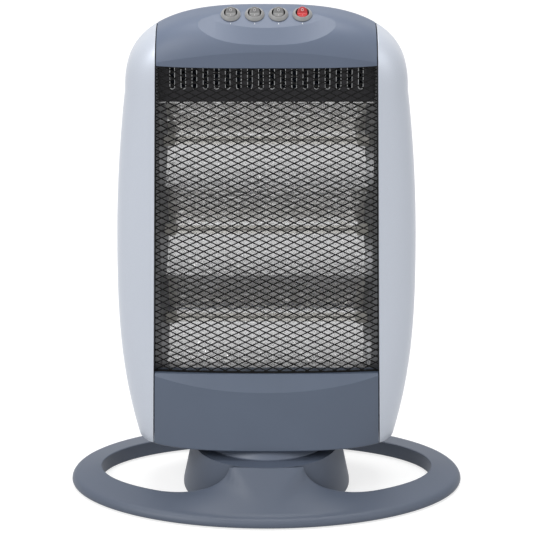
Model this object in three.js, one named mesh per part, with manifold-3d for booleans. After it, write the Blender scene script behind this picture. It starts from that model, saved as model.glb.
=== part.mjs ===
// Halogen heater: three quartz lamps behind a wire grille, in a moulded body that
// swings from side to side on an oval stand.
// Millimetres, +Z up. The front faces -Y, and the stand is centred on X = Y = 0.

import * as THREE from 'three';
import { mergeVertices } from 'three/addons/utils/BufferGeometryUtils.js';
import Module from 'manifold-3d';

const wasm = await Module();
wasm.setup();

// ---------------------------------------------------------------- clearances
const GAP = 0.3;              // left between pieces that meet or seat on each other
const SEAM = 1.2;             // dark line between the body's shells
const TIDY = 0.05;            // slivers that cuts leave on flat faces are dropped below this
const SLOT_PLAY = 1.9;        // the drive slot is this much wider than the pin on each side
const BEYOND = 1000;          // past every side of the heater, for the solids that cut it

// ---------------------------------------------------------------- stand
const stand = {
  halfLength: 236.5,          // outer oval, along X
  halfDepth: 147.5,           // outer oval, along Y
  groundGap: 2,               // rim above the floor
  edgeHeight: 4,              // height of the widest point of the rim
  crestInset: 10,             // from the widest point in to the crease of the rim
  crestHeight: 13.5,
  openingHalfLength: 200.3,   // oval inside the rim
  openingHalfDepth: 99,
  lipHeight: 20,              // top of the rim at the opening
  wall: 3,
  footRadius: 7,
  footHeight: 4,
  footAngle: 38,              // degrees round the oval from the X axis
};

const pedestal = {
  top: 59,                    // height of its flat top
  halfWidth: 89,              // upper part, along X
  flareWidth: 101,            // at the floor
  squareness: 2.3,            // 2 is an ellipse
  crownHalfWidth: 44,         // the sweep up from the rim is full height inside this
  sweepHalfWidth: 135,        // and starts here
  sweepCurve: 2.2,            // how late it rises
  postX: 62,                  // screw posts for the plate underneath
  postY: 52,
  postRadius: 5,
  recessRadius: 80,           // round recess for the turntable
  recessDepth: 12,
  plateThickness: 3,          // plate screwed on underneath
};

// ---------------------------------------------------------------- turntable and its drive
const turntable = {
  rimInset: 1.5,              // running gap to the recess
  rimThickness: 4.5,
  rise: 12,                   // pedestal top to the body's underside
  bevel: 7.5,                 // the rim leans in by this at the top
  plateThickness: 8.5,
  hubRadius: 14,
  spigotRadius: 8,
  washerRadius: 18,
  washerThickness: 4,
};

const drive = {
  offset: 44,                 // motor shaft behind the swing axis
  swing: 30,                  // degrees each way
  motorRadius: 25,
  motorHeight: 20,
  shaftRadius: 3,
  pinRadius: 2.5,
  armThickness: 4,
  armHalfWidth: 4,
};
drive.throw = drive.offset * Math.tan(THREE.MathUtils.degToRad(drive.swing));

// ---------------------------------------------------------------- heater body
const bodyBottom = pedestal.top + turntable.rise;
const body = {
  bottom: bodyBottom,
  height: 525,
  bottomHalfWidth: 153,
  waistHalfWidth: 176.4,      // widest
  waistRise: 215,             // widest point above the underside
  shoulderHalfWidth: 164,
  domeHeight: 97,             // the domed top
  frontDepth: 66,             // swing axis to the front
  backDepth: 64,
  frontSkirt: 80,             // they grow to these at the underside
  backSkirt: 75,
  skirtRise: 178,
  bottomEdge: 2,              // rounding round the underside
  lowerCurve: 2.5,            // how late the sides draw in below and above the widest point
  upperCurve: 2.1,
  skirtCurve: 1.5,
  domeCurve: 2.6,             // the dome's outline, and the sections', 2 is an ellipse
  depthCurve: 4,              // the same from front to back: nearly flat, with round edges
  backCurve: 3,               // the rear cover is rounder
  backDomeCurve: 2,           // and falls away more to the top
  skirtRound: 3.2,            // and at the underside
  wall: 2.6,
  splitDepth: 22,             // the rear cover starts here
  panelBottom: 18.5,          // width of each side panel, at the underside
  panelTop: 38,               // and at the shoulder's width
};
body.top = body.bottom + body.height;
body.waist = body.bottom + body.waistRise;
body.shoulder = body.top - body.domeHeight;
// Half width between the side panels' seams.
body.seamBottom = body.bottomHalfWidth - body.panelBottom;
body.seamTop = body.shoulderHalfWidth - body.panelTop;

const opening = {
  rise: 91.5,                 // lower edge above the underside
  drop: 57.5,                 // upper edge below the body's top
  edgeDepth: 52.5,            // front edge of the covers at the corners
  bulge: 7,                   // and this much further forward at the middle
  shelf: 14,                  // covers and panels turn in round it by this
  reach: 40,                  // the crescents end within this of it
  upperBevel: 22,             // degrees, the crescents above and below it
  lowerBevel: 32,
  flangeBelow: 60,            // the panels' turned-in edges run past it by these
  flangeAbove: 30,
};
opening.bottom = body.bottom + opening.rise;
opening.top = body.top - opening.drop;

const controls = {
  tilt: 30,                   // degrees, the control panel faces up and forward
  frontDepth: 45,             // its front edge at the middle
  frontDrop: 14.3,            // below the body's top
  edgeCurve: 505,             // its front edge is set back by x squared over this
  scoopSlope: 46,             // degrees, the facet below the panel
  switchPitch: 27.3,
  switchCount: 4,
  switchSetback: 21,          // up the slope from the front edge
};

const rearCover = {
  slotCount: 9,
  slotPitch: 18,
  slotWidth: 6,
  slotHeight: 46,
  lowerSlots: 70,             // lower end of a row above the underside
  upperSlots: 175,            // lower end of a row below the body's top
  handleHalfWidth: 60,
  handleHeight: 30,
  handleDrop: 100,            // its lower edge below the body's top
  handleDepth: 26,
  screwInset: 9,              // in from the body's width at the underside
  screwRise: 80,
  screwDrop: 175,
  screwHead: 4,
  screwShank: 1.7,
  screwSink: 5,               // heads sit this far inside the cover's skin
  bossRadius: 6.5,
  cutDepth: 11,               // slots are cut in from the back by this
};
rearCover.screwX = body.bottomHalfWidth - rearCover.screwInset;

// ---------------------------------------------------------------- heating chamber
const reflector = {
  below: 6,                   // the lowest trough starts this far below the opening
  ventHeight: 49.5,           // and the highest ends this far below its upper edge
  backDepth: 18,              // deepest line of each trough
  ridgeDepth: -6,             // ridges between troughs
  lipDepth: -31,              // the top and bottom lips reach forward to here
  thickness: 0.8,
  sideInset: 1.5,             // its side plates stand inside the seams by this
  sideFrontDepth: -38,
  sideLean: 8.2,              // they close in by this towards the back
  sideThickness: 1,
  ventDepth: -33,
  ventThickness: 1.2,
  ventFoot: 12,               // turned back at the bottom by this
  ventMargin: 6,              // left above the slots
  ventTop: 16,                // above the opening
  ventSlots: 18,
  ventPitch: 12.75,
  ventSlotWidth: 5.4,
  ventSlotDrop: 30,           // from the opening's top edge to the slots' lower ends
  postX: 81,
  postRadius: 5,
  cutoutRadius: 8,
};
reflector.sideFrontX = body.seamTop - reflector.sideInset;
reflector.sideBackX = reflector.sideFrontX - reflector.sideLean;

const lamp = {
  count: 3,
  depth: 0,                   // on the swing axis
  tubeRadius: 5.5,
  tubeWall: 1,
  endInset: 10.5,             // tube's end to the side plates' front edges
  coilRadius: 1,
  supportCount: 4,
  supportThickness: 1.2,
  capRadius: 7,
  capLength: 22,
  capOverlap: 7,              // cap over the tube's end
};
lamp.tubeHalfLength = reflector.sideFrontX - lamp.endInset;
lamp.capStart = lamp.tubeHalfLength - lamp.capOverlap;

const lowestTrough = opening.bottom - reflector.below;
const highestTrough = opening.top - reflector.ventHeight;
lamp.pitch = (highestTrough - lowestTrough) / lamp.count;

const grille = {
  cellWidth: 16.2,
  cellHeight: 8.05,
  wire: 1.3,
  setback: 2,                 // behind the covers' front edges
  frameWidth: 1.4,
  frameDepth: 3,
};

// ---------------------------------------------------------------- rocker switch
const rocker = {
  bezelRadius: 11.3,
  bezelTopRadius: 9.5,
  bezelHeight: 3.8,
  bezelEdge: 1,               // height of its upright edge
  barrelRadius: 10.1,
  barrelDepth: 16,
  boreRadius: 8.5,
  boreDepth: 6,
  buttonRadius: 8.2,
  pivotHeight: 2.4,           // hinge pins above the panel
  pinRadius: 0.8,
  pinLength: 0.9,             // each pin's reach into the bezel
  faceAngle: 26,              // each half rises by this from the middle
  travel: 22,                 // degrees from one position to the other
  buttonDepth: 6.5,
};

const tipSwitch = {
  x: -50,
  pinRadius: 4,
  pinLength: 16,
  collarRadius: 6.5,
  collarHeight: 2.5,
  travel: 4,
  boxHalfWidth: 10,
  boxHalfDepth: 6,
  boxHeight: 15,
};

const terminalBlock = { length: 48, depth: 14, height: 16, y: -12 };
const gland = { rise: 32, radius: 8, flange: 11, bore: 3.6, flangeThickness: 2.5, inside: 9 };

// ---------------------------------------------------------------- geometry tools
const degrees = THREE.MathUtils.degToRad;

// A three.js geometry as a closed solid: shared vertices merged, facing outwards.
function solid(geometry) {
  const bare = new THREE.BufferGeometry();
  bare.setAttribute('position', geometry.getAttribute('position').clone());
  if (geometry.index) bare.setIndex(geometry.index.clone());
  const merged = mergeVertices(bare, 1e-4);
  const points = merged.getAttribute('position').array;
  const kept = [];
  let volume = 0;
  const corner = [new THREE.Vector3(), new THREE.Vector3(), new THREE.Vector3()];
  for (let i = 0; i < merged.index.count; i += 3) {
    const face = [0, 1, 2].map((k) => merged.index.getX(i + k));
    if (face[0] === face[1] || face[1] === face[2] || face[2] === face[0]) continue;
    face.forEach((vertex, k) => corner[k].fromArray(points, vertex * 3));
    volume += corner[0].dot(corner[1].clone().cross(corner[2]));
    kept.push(face);
  }
  if (volume < 0) kept.forEach((face) => face.reverse());
  return new wasm.Manifold(new wasm.Mesh({
    numProp: 3,
    vertProperties: Float32Array.from(points),
    triVerts: Uint32Array.from(kept.flat()),
  }));
}

const unite = (...solids) => wasm.Manifold.union(solids.flat());

function block(x0, x1, y0, y1, z0, z1) {
  const box = new THREE.BoxGeometry(x1 - x0, y1 - y0, z1 - z0);
  return solid(box.translate((x0 + x1) / 2, (y0 + y1) / 2, (z0 + z1) / 2));
}

// A round bar between two points.
function bar(radius, from, to, sides = 16) {
  const start = new THREE.Vector3(...from);
  const end = new THREE.Vector3(...to);
  const along = end.clone().sub(start);
  const shape = new THREE.CylinderGeometry(radius, radius, along.length(), sides);
  const turn = new THREE.Quaternion().setFromUnitVectors(new THREE.Vector3(0, 1, 0), along.normalize());
  shape.applyQuaternion(turn);
  const middle = start.add(end).multiplyScalar(0.5);
  return solid(shape.translate(middle.x, middle.y, middle.z));
}

// A [radius, height] profile turned about Z.
function turned(profile, sides = 32) {
  const points = profile.map(([radius, height]) => new THREE.Vector2(radius, height));
  return solid(new THREE.LatheGeometry(points, sides).rotateX(Math.PI / 2));
}

// A closed [radius, height] loop turned about Z, with a hole through the middle.
function ring(profile, sides = 32) {
  return turned([...profile, profile[0]], sides);
}

function outline(points) {
  return new THREE.Shape(points.map(([u, v]) => new THREE.Vector2(u, v)));
}

// An outline in X and Y, raised from z0 to z1.
function raised(points, z0, z1) {
  const shape = new THREE.ExtrudeGeometry(outline(points), { depth: z1 - z0, bevelEnabled: false });
  return solid(shape.translate(0, 0, z0));
}

// An outline in Y and Z, drawn out along X.
function drawn(points, x0, x1) {
  const shape = new THREE.ExtrudeGeometry(outline(points), { depth: x1 - x0, bevelEnabled: false });
  const toYZ = new THREE.Matrix4().makeBasis(
    new THREE.Vector3(0, 1, 0),
    new THREE.Vector3(0, 0, 1),
    new THREE.Vector3(1, 0, 0),
  );
  return solid(shape.applyMatrix4(toYZ).translate(x0, 0, 0));
}

// An outline in X and Z, run through everything from front to back.
function through(points) {
  const shape = new THREE.ExtrudeGeometry(outline(points), { depth: 2 * BEYOND, bevelEnabled: false });
  return solid(shape.rotateX(Math.PI / 2).translate(0, BEYOND, 0));
}

// A skin over rings of equal count, each [x, y, z], with both ends closed, or with the
// last ring joined to the first.
function skin(rings, closed = false) {
  const count = rings[0].length;
  const points = rings.flat();
  const faces = [];
  const steps = closed ? rings.length : rings.length - 1;
  for (let i = 0; i < steps; i += 1) {
    const here = i * count;
    const next = ((i + 1) % rings.length) * count;
    for (let j = 0; j < count; j += 1) {
      const k = (j + 1) % count;
      faces.push(here + j, here + k, next + k, here + j, next + k, next + j);
    }
  }
  if (!closed) {
    [0, rings.length - 1].forEach((end) => {
      const loop = rings[end];
      const middle = [0, 1, 2].map((axis) => loop.reduce((sum, p) => sum + p[axis], 0) / count);
      points.push(middle);
      for (let j = 0; j < count; j += 1) {
        const edge = [end * count + j, end * count + ((j + 1) % count)];
        if (end === 0) edge.reverse();
        faces.push(...edge, points.length - 1);
      }
    });
  }
  const geometry = new THREE.BufferGeometry();
  geometry.setAttribute('position', new THREE.Float32BufferAttribute(points.flat(), 3));
  geometry.setIndex(faces);
  return solid(geometry);
}

// Equal steps once round, without coming back to the first.
const turnsOf = (count) => Array.from({ length: count }, (_, i) => (2 * Math.PI * i) / count);

const power = (value, exponent) => Math.sign(value) * Math.abs(value) ** exponent;

// Evenly spaced values from one number to another, both included.
const steps = (count, from, to) => turnsOf(count + 1).map((_, i) => from + ((to - from) * i) / count);

// Places of a row of equal pieces, centred on zero.
const inRow = (count, pitch) => steps(count - 1, (-pitch * (count - 1)) / 2, (pitch * (count - 1)) / 2);

// ---------------------------------------------------------------- looks
const material = (color, roughness, metalness = 0) => (
  new THREE.MeshStandardMaterial({ color, roughness, metalness })
);
const finish = {
  standPlastic: material('#6b7687', 0.5),
  coverPlastic: material('#76839a', 0.45),
  lowerPlastic: material('#636e81', 0.45),
  silverPaint: material('#c8ced6', 0.35, 0.3),
  rearPlastic: material('#5d6879', 0.55),
  blackWire: material('#17171a', 0.4, 0.5),
  darkSteel: material('#3b3b3f', 0.5, 0.5),
  mirrorSteel: material('#d5d6d8', 0.15, 0.95),
  quartz: material('#e6e4df', 0.1),
  tungsten: material('#8d8a86', 0.4, 0.8),
  ceramic: material('#e9e5da', 0.7),
  greyPlastic: material('#8c8c8c', 0.45),
  redPlastic: material('#b4383a', 0.4),
  blackPlastic: material('#222326', 0.6),
  rubber: material('#1d1d1f', 0.9),
  zinc: material('#a9abad', 0.35, 0.9),
};

const heater = new THREE.Group();
heater.name = 'halogen_heater';

function place(name, shape, look, group = heater) {
  const found = shape.simplify(TIDY).getMesh();
  const geometry = new THREE.BufferGeometry();
  const positions = [];
  for (let i = 0; i < found.vertProperties.length; i += found.numProp) {
    positions.push(...found.vertProperties.slice(i, i + 3));
  }
  geometry.setAttribute('position', new THREE.Float32BufferAttribute(positions, 3));
  geometry.setIndex([...found.triVerts]);
  geometry.computeVertexNormals();
  const mesh = new THREE.Mesh(geometry, look);
  mesh.name = name;
  group.add(mesh);
}

// ---------------------------------------------------------------- stand mouldings

// Height of the rim's top, from its crease (part 0) to its inner lip (part 1). The lip sweeps
// up to the pedestal's top at the front and back, more softly towards the crease.
function rimHeight(x, part, inset) {
  const { crownHalfWidth, sweepHalfWidth, sweepCurve, top } = pedestal;
  const crown = crownHalfWidth * part;
  const away = (Math.abs(x) + inset - crown) / (sweepHalfWidth - crown);
  const climb = 1 - THREE.MathUtils.clamp(away, 0, 1);
  const crisp = 1 - (1 - climb ** sweepCurve) ** (1 / sweepCurve);
  const soft = climb * climb * (3 - 2 * climb);
  const sweep = crisp * part + soft * (1 - part);
  const lip = stand.lipHeight + (top - stand.lipHeight) * sweep;
  return stand.crestHeight + (lip - stand.crestHeight) * part - inset;
}

// Angles round the oval, closer together where the lip sweeps up.
function ovalAngles() {
  const sweepStart = Math.acos(pedestal.sweepHalfWidth / stand.openingHalfLength);
  const sweepEnd = Math.acos(pedestal.crownHalfWidth / stand.openingHalfLength);
  // They close up towards the crown, where the sweep is steepest.
  const sweep = steps(6, 0, 1).map((part) => sweepStart + (sweepEnd - sweepStart) * (1 - (1 - part) ** 2));
  const quarter = [
    ...steps(3, 0, sweepStart).slice(0, -1),
    ...sweep,
  ];
  const half = [...quarter, Math.PI / 2, ...quarter.slice(1).reverse().map((a) => Math.PI - a)];
  return [...half, ...half.map((a) => a + Math.PI)];
}

// The rim's section swept round the oval. With an inset it is the hollow underneath.
function rimSweep(inset, floor) {
  const { halfLength, halfDepth, edgeHeight, crestInset, crestHeight } = stand;
  const outer = (back, height) => (angle) => [
    (halfLength - inset - back) * Math.cos(angle),
    (halfDepth - inset - back) * Math.sin(angle),
    height,
  ];
  const top = (part) => (angle) => {
    const length = halfLength - crestInset + (stand.openingHalfLength - halfLength + crestInset) * part;
    const depth = halfDepth - crestInset + (stand.openingHalfDepth - halfDepth + crestInset) * part;
    const out = inset * (2 * part - 1);
    const x = length * Math.cos(angle);
    return [x + out * Math.cos(angle), (depth + out) * Math.sin(angle), rimHeight(x, part, inset)];
  };
  const inner = (height) => (angle) => [
    (stand.openingHalfLength + inset) * Math.cos(angle),
    (stand.openingHalfDepth + inset) * Math.sin(angle),
    height,
  ];
  const rounding = [
    outer(1.5, floor),
    outer(0, edgeHeight),
    outer(1, crestHeight * 0.6),
    outer(crestInset * 0.4, crestHeight * 0.86),
  ];
  const section = [
    ...(inset === 0 ? rounding : [outer(1.5, floor), outer(1, crestHeight * 0.6 - inset)]),
    ...[0, 0.5, 0.8, 1].map(top),
    inner(floor),
  ];
  return skin(ovalAngles().map((angle) => section.map((point) => point(angle))), true);
}

function pedestalSection(z, inset) {
  const { halfWidth, flareWidth, top, squareness } = pedestal;
  const width = halfWidth + (flareWidth - halfWidth) * (1 - z / top) - inset;
  const depth = stand.openingHalfDepth - inset + 0.5;
  return turnsOf(24).map((angle) => [
    width * power(Math.cos(angle), 2 / squareness),
    depth * power(Math.sin(angle), 2 / squareness),
    z,
  ]);
}

const recessFloor = pedestal.top - pedestal.recessDepth;
const deckUnderside = recessFloor - stand.wall;
const plateTop = stand.groundGap + pedestal.plateThickness;

function standShell() {
  const { groundGap, wall } = stand;
  const column = skin([groundGap, pedestal.top].map((z) => pedestalSection(z, 0)));
  const hollow = skin([-1, deckUnderside].map((z) => pedestalSection(z, wall)));
  const recess = bar(pedestal.recessRadius, [0, 0, recessFloor], [0, 0, pedestal.top + 1], 40);
  const hubHole = bar(turntable.hubRadius + GAP, [0, 0, deckUnderside - 1], [0, 0, recessFloor + 1], 24);
  const shaftHole = bar(
    drive.shaftRadius + 1, [0, drive.offset, deckUnderside - 1], [0, drive.offset, recessFloor + 1],
  );
  const outside = unite(rimSweep(0, groundGap), column);
  const belowDeck = block(-BEYOND, BEYOND, -BEYOND, BEYOND, -1, deckUnderside);
  const inside = unite(rimSweep(wall, -1), hollow).intersect(belowDeck);
  const { postX, postY, postRadius } = pedestal;
  const posts = [];
  for (const x of [-1, 1]) {
    for (const y of [-1, 1]) {
      const post = [postX * x, postY * y];
      posts.push(bar(postRadius, [...post, plateTop + GAP], [...post, recessFloor - 1], 10));
      const [footX, footY] = footPlace(x, y);
      const foot = [footX, footY];
      const boss = bar(stand.footRadius, [...foot, stand.footHeight + GAP], [...foot, stand.lipHeight], 12);
      posts.push(boss.intersect(rimSweep(1, -1)));
    }
  }
  return outside.subtract(inside).add(unite(posts)).subtract(unite(recess, hubHole, shaftHole));
}

// Feet sit under the middle of the rim, one in each quarter.
function footPlace(x, y) {
  const angle = degrees(stand.footAngle);
  const midLength = (stand.halfLength + stand.openingHalfLength) / 2;
  const midDepth = (stand.halfDepth + stand.openingHalfDepth) / 2;
  return [x * midLength * Math.cos(angle), y * midDepth * Math.sin(angle)];
}

function basePlate() {
  const edge = pedestalSection(plateTop, stand.wall + GAP).map(([x, y]) => [x, y]);
  const inRim = stand.openingHalfDepth - stand.wall - 2;
  const plate = raised(edge, stand.groundGap, plateTop).intersect(
    block(-BEYOND, BEYOND, -inRim, inRim, 0, plateTop),
  );
  const { x, pinRadius, boxHalfWidth, boxHalfDepth, pinLength, boxHeight } = tipSwitch;
  const hole = bar(pinRadius + GAP, [x, 0, 0], [x, 0, plateTop + 1]);
  const bracketX = x - boxHalfWidth - GAP;
  const bracket = block(
    bracketX - 3, bracketX, -boxHalfDepth, boxHalfDepth, plateTop - 1, pinLength + boxHeight,
  );
  return plate.add(bracket).subtract(hole);
}

place('stand_shell', standShell(), finish.standPlastic);
place('stand_base_plate', basePlate(), finish.blackPlastic);
for (const [side, x] of [['left', -1], ['right', 1]]) {
  for (const [end, y] of [['front', -1], ['rear', 1]]) {
    const [footX, footY] = footPlace(x, y);
    const { footRadius, footHeight } = stand;
    const foot = turned([
      [0, 0], [footRadius - 1, 0], [footRadius, 1], [footRadius, footHeight], [0, footHeight],
    ], 12);
    place(`foot_${end}_${side}`, foot.translate([footX, footY, 0]), finish.rubber);
  }
}

// ---------------------------------------------------------------- tip-over switch
{
  const { x, pinRadius, pinLength, collarRadius, collarHeight, travel } = tipSwitch;
  const collar = plateTop + GAP + travel;
  const plunger = turned([
    [0, 0], [pinRadius - 0.6, 0], [pinRadius, 1], [pinRadius, collar], [collarRadius, collar],
    [collarRadius, collar + collarHeight], [pinRadius, collar + collarHeight], [pinRadius, pinLength],
    [0, pinLength],
  ], 12);
  place('tip_plunger', plunger.translate([x, 0, 0]), finish.blackPlastic);
  const bottom = pinLength + GAP;
  const box = block(
    x - tipSwitch.boxHalfWidth, x + tipSwitch.boxHalfWidth, -tipSwitch.boxHalfDepth, tipSwitch.boxHalfDepth,
    bottom + 2, bottom + tipSwitch.boxHeight,
  );
  const button = bar(2, [x, 0, bottom], [x, 0, bottom + 3], 8);
  place('tip_microswitch', box.add(button), finish.blackPlastic);
}

// ---------------------------------------------------------------- turntable and drive
const turntablePlateBottom = body.bottom - GAP - turntable.plateThickness;
const turntableRadius = pedestal.recessRadius - turntable.rimInset;
{
  const top = body.bottom - GAP;
  const rimBottom = recessFloor + 1;
  const inner = turntableRadius - turntable.rimThickness;
  const washerTop = deckUnderside - GAP;
  const spigotBottom = washerTop - turntable.washerThickness - 1;
  const disc = turned([
    [0, spigotBottom], [turntable.spigotRadius, spigotBottom], [turntable.spigotRadius, deckUnderside],
    [turntable.hubRadius, deckUnderside], [turntable.hubRadius, turntablePlateBottom],
    [inner, turntablePlateBottom], [inner, rimBottom], [turntableRadius, rimBottom],
    [turntableRadius, pedestal.top + 1], [turntableRadius - turntable.bevel, top], [0, top],
  ], 36);
  // Two ribs under the plate guide the crank pin.
  const halfSlot = drive.pinRadius + SLOT_PLAY;
  const slotFrom = drive.offset - 2;
  const armTop = recessFloor + 1 + drive.armThickness;
  const ribs = [-1, 1].map((side) => {
    const near = side * halfSlot;
    const far = side * (halfSlot + 3);
    return block(
      Math.min(near, far), Math.max(near, far), slotFrom, inner + 1, armTop + 1, turntablePlateBottom + 1,
    );
  });
  place('turntable', unite(disc, ribs), finish.standPlastic);

  const washer = ring([
    [turntable.spigotRadius + GAP, washerTop - turntable.washerThickness],
    [turntable.washerRadius, washerTop - turntable.washerThickness],
    [turntable.washerRadius, washerTop],
    [turntable.spigotRadius + GAP, washerTop],
  ], 24);
  place('turntable_washer', washer, finish.zinc);

  const motorTop = deckUnderside - GAP;
  const motorBottom = motorTop - drive.motorHeight;
  const can = bar(drive.motorRadius, [0, drive.offset, motorBottom], [0, drive.offset, motorTop], 24);
  const bearingFloor = motorTop - 8;
  const bearing = bar(
    drive.shaftRadius + GAP, [0, drive.offset, bearingFloor], [0, drive.offset, motorTop + 1],
  );
  place('swing_motor', can.subtract(bearing), finish.zinc);

  // The crank turns on the motor shaft, and its pin works in the turntable's slot.
  const armBottom = recessFloor + 1;
  const pinY = drive.offset + drive.throw;
  const shaft = bar(drive.shaftRadius, [0, drive.offset, bearingFloor + GAP], [0, drive.offset, armTop]);
  const arm = block(-drive.armHalfWidth, drive.armHalfWidth, drive.offset, pinY, armBottom, armTop);
  const ends = [drive.offset, pinY].map((y) => bar(drive.armHalfWidth, [0, y, armBottom], [0, y, armTop]));
  const pin = bar(drive.pinRadius, [0, pinY, armBottom], [0, pinY, turntablePlateBottom - 1]);
  place('swing_crank', unite(shaft, arm, ends, pin), finish.zinc);
}

// ---------------------------------------------------------------- body shells

// Half width, front depth and back depth of the body's skin at height z.
function bodySize(z, inset) {
  const { bottom, waist, shoulder, top, domeCurve, depthCurve } = body;
  const peak = top - inset;
  let halfWidth;
  if (z < waist) {
    const fall = ((waist - z) / (waist - bottom)) ** body.lowerCurve;
    halfWidth = body.waistHalfWidth - (body.waistHalfWidth - body.bottomHalfWidth) * fall;
  } else {
    const climb = Math.min(1, (z - waist) / (shoulder - waist)) ** body.upperCurve;
    halfWidth = body.waistHalfWidth - (body.waistHalfWidth - body.shoulderHalfWidth) * climb;
  }
  const skirt = Math.max(0, 1 - (z - bottom) / body.skirtRise) ** body.skirtCurve;
  const front = body.frontDepth + (body.frontSkirt - body.frontDepth) * skirt;
  const back = body.backDepth + (body.backSkirt - body.backDepth) * skirt;
  const dome = Math.max(0, (z - shoulder) / (peak - shoulder)) ** domeCurve;
  const across = Math.max(0, 1 - dome) ** (1 / domeCurve);
  const frontPart = Math.max(0, 1 - dome) ** (1 / depthCurve);
  const backPart = Math.max(0, 1 - dome) ** (1 / body.backDomeCurve);
  return [(halfWidth - inset) * across, (front - inset) * frontPart, (back - inset) * backPart];
}

// The front is nearly flat, and rounder at the skirt.
function frontCurve(z) {
  const skirt = THREE.MathUtils.clamp(1 - (z - body.bottom) / body.skirtRise, 0, 1) ** body.skirtCurve;
  return body.depthCurve + (body.skirtRound - body.depthCurve) * skirt;
}

function bodySection(z, inset, shrink = 0) {
  const [halfWidth, front, back] = bodySize(z, inset).map((size) => size - shrink);
  return turnsOf(32).map((angle) => {
    const x = halfWidth * power(Math.cos(angle), 2 / body.domeCurve);
    const y = Math.sin(angle);
    return [x, y < 0 ? front * power(y, 2 / frontCurve(z)) : back * power(y, 2 / body.backCurve), z];
  });
}

// Depth of the opening's front edge: it bulges forward at the middle.
const edgeDepth = (x) => -opening.edgeDepth - opening.bulge * (1 - (x / body.seamBottom) ** 2);

// What is cut from the covers' front, between the side panels: the crescents above and below
// the opening, the flat of the control panel and the scoop below it.
function frontCuts(inset) {
  const { reach } = opening;
  const wide = body.seamBottom + 1;
  const crescent = (edge, direction, angle) => skin(steps(8, -wide, wide).map((x) => {
    const y = edgeDepth(x) + inset / Math.cos(degrees(angle));
    const lean = Math.tan(degrees(angle)) * reach;
    const far = edge + direction * reach;
    const front = y - body.frontSkirt;
    const corners = [[x, y, edge], [x, y - lean, far], [x, front, far], [x, front, edge]];
    return direction > 0 ? corners.reverse() : corners;
  }));
  const tilt = Math.tan(degrees(controls.tilt));
  const edgeZ = body.top - controls.frontDrop;
  const panelZ = (y) => edgeZ + (y + controls.frontDepth) * tilt - inset / Math.cos(degrees(controls.tilt));
  const panelEnds = [-BEYOND, BEYOND].map((y) => [y, panelZ(y)]);
  const flat = drawn([...panelEnds, [-BEYOND, panelZ(BEYOND)]], -BEYOND, BEYOND);
  const slope = Math.tan(degrees(controls.scoopSlope));
  const run = body.frontDepth;
  const scoop = skin(steps(12, -body.seamTop, body.seamTop).map((x) => {
    const y = -controls.frontDepth + (x * x) / controls.edgeCurve;
    const z = edgeZ + (y + controls.frontDepth) * tilt - inset / Math.cos(degrees(controls.scoopSlope));
    return [
      [x, y + run, z + run * slope], [x, y + run, BEYOND], [x, y - run, BEYOND], [x, y - run, z - run * slope],
    ];
  }));
  const upper = crescent(opening.top, 1, opening.upperBevel);
  const lower = crescent(opening.bottom, -1, opening.lowerBevel);
  return unite(upper, lower, flat, scoop).intersect(betweenSeams(0));
}

// The body as one solid. The shells are cut from the difference of two of these.
function bodySolid(inset) {
  const { bottom, shoulder, bottomEdge } = body;
  const low = bottom + inset;
  const high = body.top - inset;
  const sections = [
    bodySection(low, inset, bottomEdge),
    bodySection(low + bottomEdge * 0.3, inset, bottomEdge * 0.3),
    ...steps(5, low + bottomEdge, shoulder).map((z) => bodySection(z, inset)),
    ...steps(4, 0.25, 0.95).map((part) => {
      const z = shoulder + (high - shoulder) * Math.sin((part * Math.PI) / 2) ** (2 / body.domeCurve);
      return bodySection(z, inset);
    }),
    bodySection(shoulder + (high - shoulder) * 0.9995, inset),
  ];
  return skin(sections).subtract(frontCuts(inset));
}

const outerBody = bodySolid(0);
const innerBody = bodySolid(body.wall);
const shell = outerBody.subtract(innerBody);

// The wedge between the seams, wider at the bottom. Positive grow reaches past them.
function betweenSeams(grow) {
  const lean = (body.seamTop - body.seamBottom) / body.height;
  const half = (z) => body.seamBottom + lean * (z - body.bottom) + grow;
  const [low, high] = [body.bottom - 1, body.top + 1];
  return through([[-half(low), low], [half(low), low], [half(high), high], [-half(high), high]]);
}

// Everything within these limits in Y and Z.
const between = (y0, y1, z0, z1) => block(-BEYOND, BEYOND, y0, y1, z0, z1);
const frontHalf = between(-BEYOND, body.splitDepth, -BEYOND, BEYOND);
const rearHalf = between(body.splitDepth + SEAM, BEYOND, -BEYOND, BEYOND);
const shelfBack = -opening.edgeDepth + opening.shelf;
const { flangeBelow, flangeAbove } = opening;

// The rear cover's screws go into bosses on the side panels, each held by a rib.
const screwHeights = [body.bottom + rearCover.screwRise, body.top - rearCover.screwDrop];
const bossRib = 4;

function sidePanel(side) {
  const [from, to] = side < 0 ? [-BEYOND, 0] : [0, BEYOND];
  const half = block(from, to, -BEYOND, BEYOND, -BEYOND, BEYOND);
  const turnIn = betweenSeams(SEAM / 2 + body.wall).subtract(betweenSeams(SEAM / 2));
  const flange = turnIn.intersect(outerBody)
    .intersect(between(-BEYOND, shelfBack, opening.bottom - flangeBelow, opening.top + flangeAbove));
  const outside = shell.subtract(betweenSeams(SEAM / 2)).intersect(frontHalf);
  const { screwX, screwShank, bossRadius } = rearCover;
  const bosses = screwHeights.map((z) => {
    const post = bar(bossRadius, [side * screwX, 0, z], [side * screwX, body.splitDepth, z], 12);
    const across = [side * screwX, side * BEYOND].sort((a, b) => a - b);
    const rib = block(...across, bossRib, body.splitDepth, z - 1.5, z + 1.5);
    const pilot = bar(
      screwShank + GAP, [side * screwX, bossRib, z], [side * screwX, body.splitDepth + 1, z], 8,
    );
    return post.add(rib.intersect(outerBody)).subtract(pilot);
  });
  return unite(outside, flange, bosses).intersect(half);
}

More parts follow.
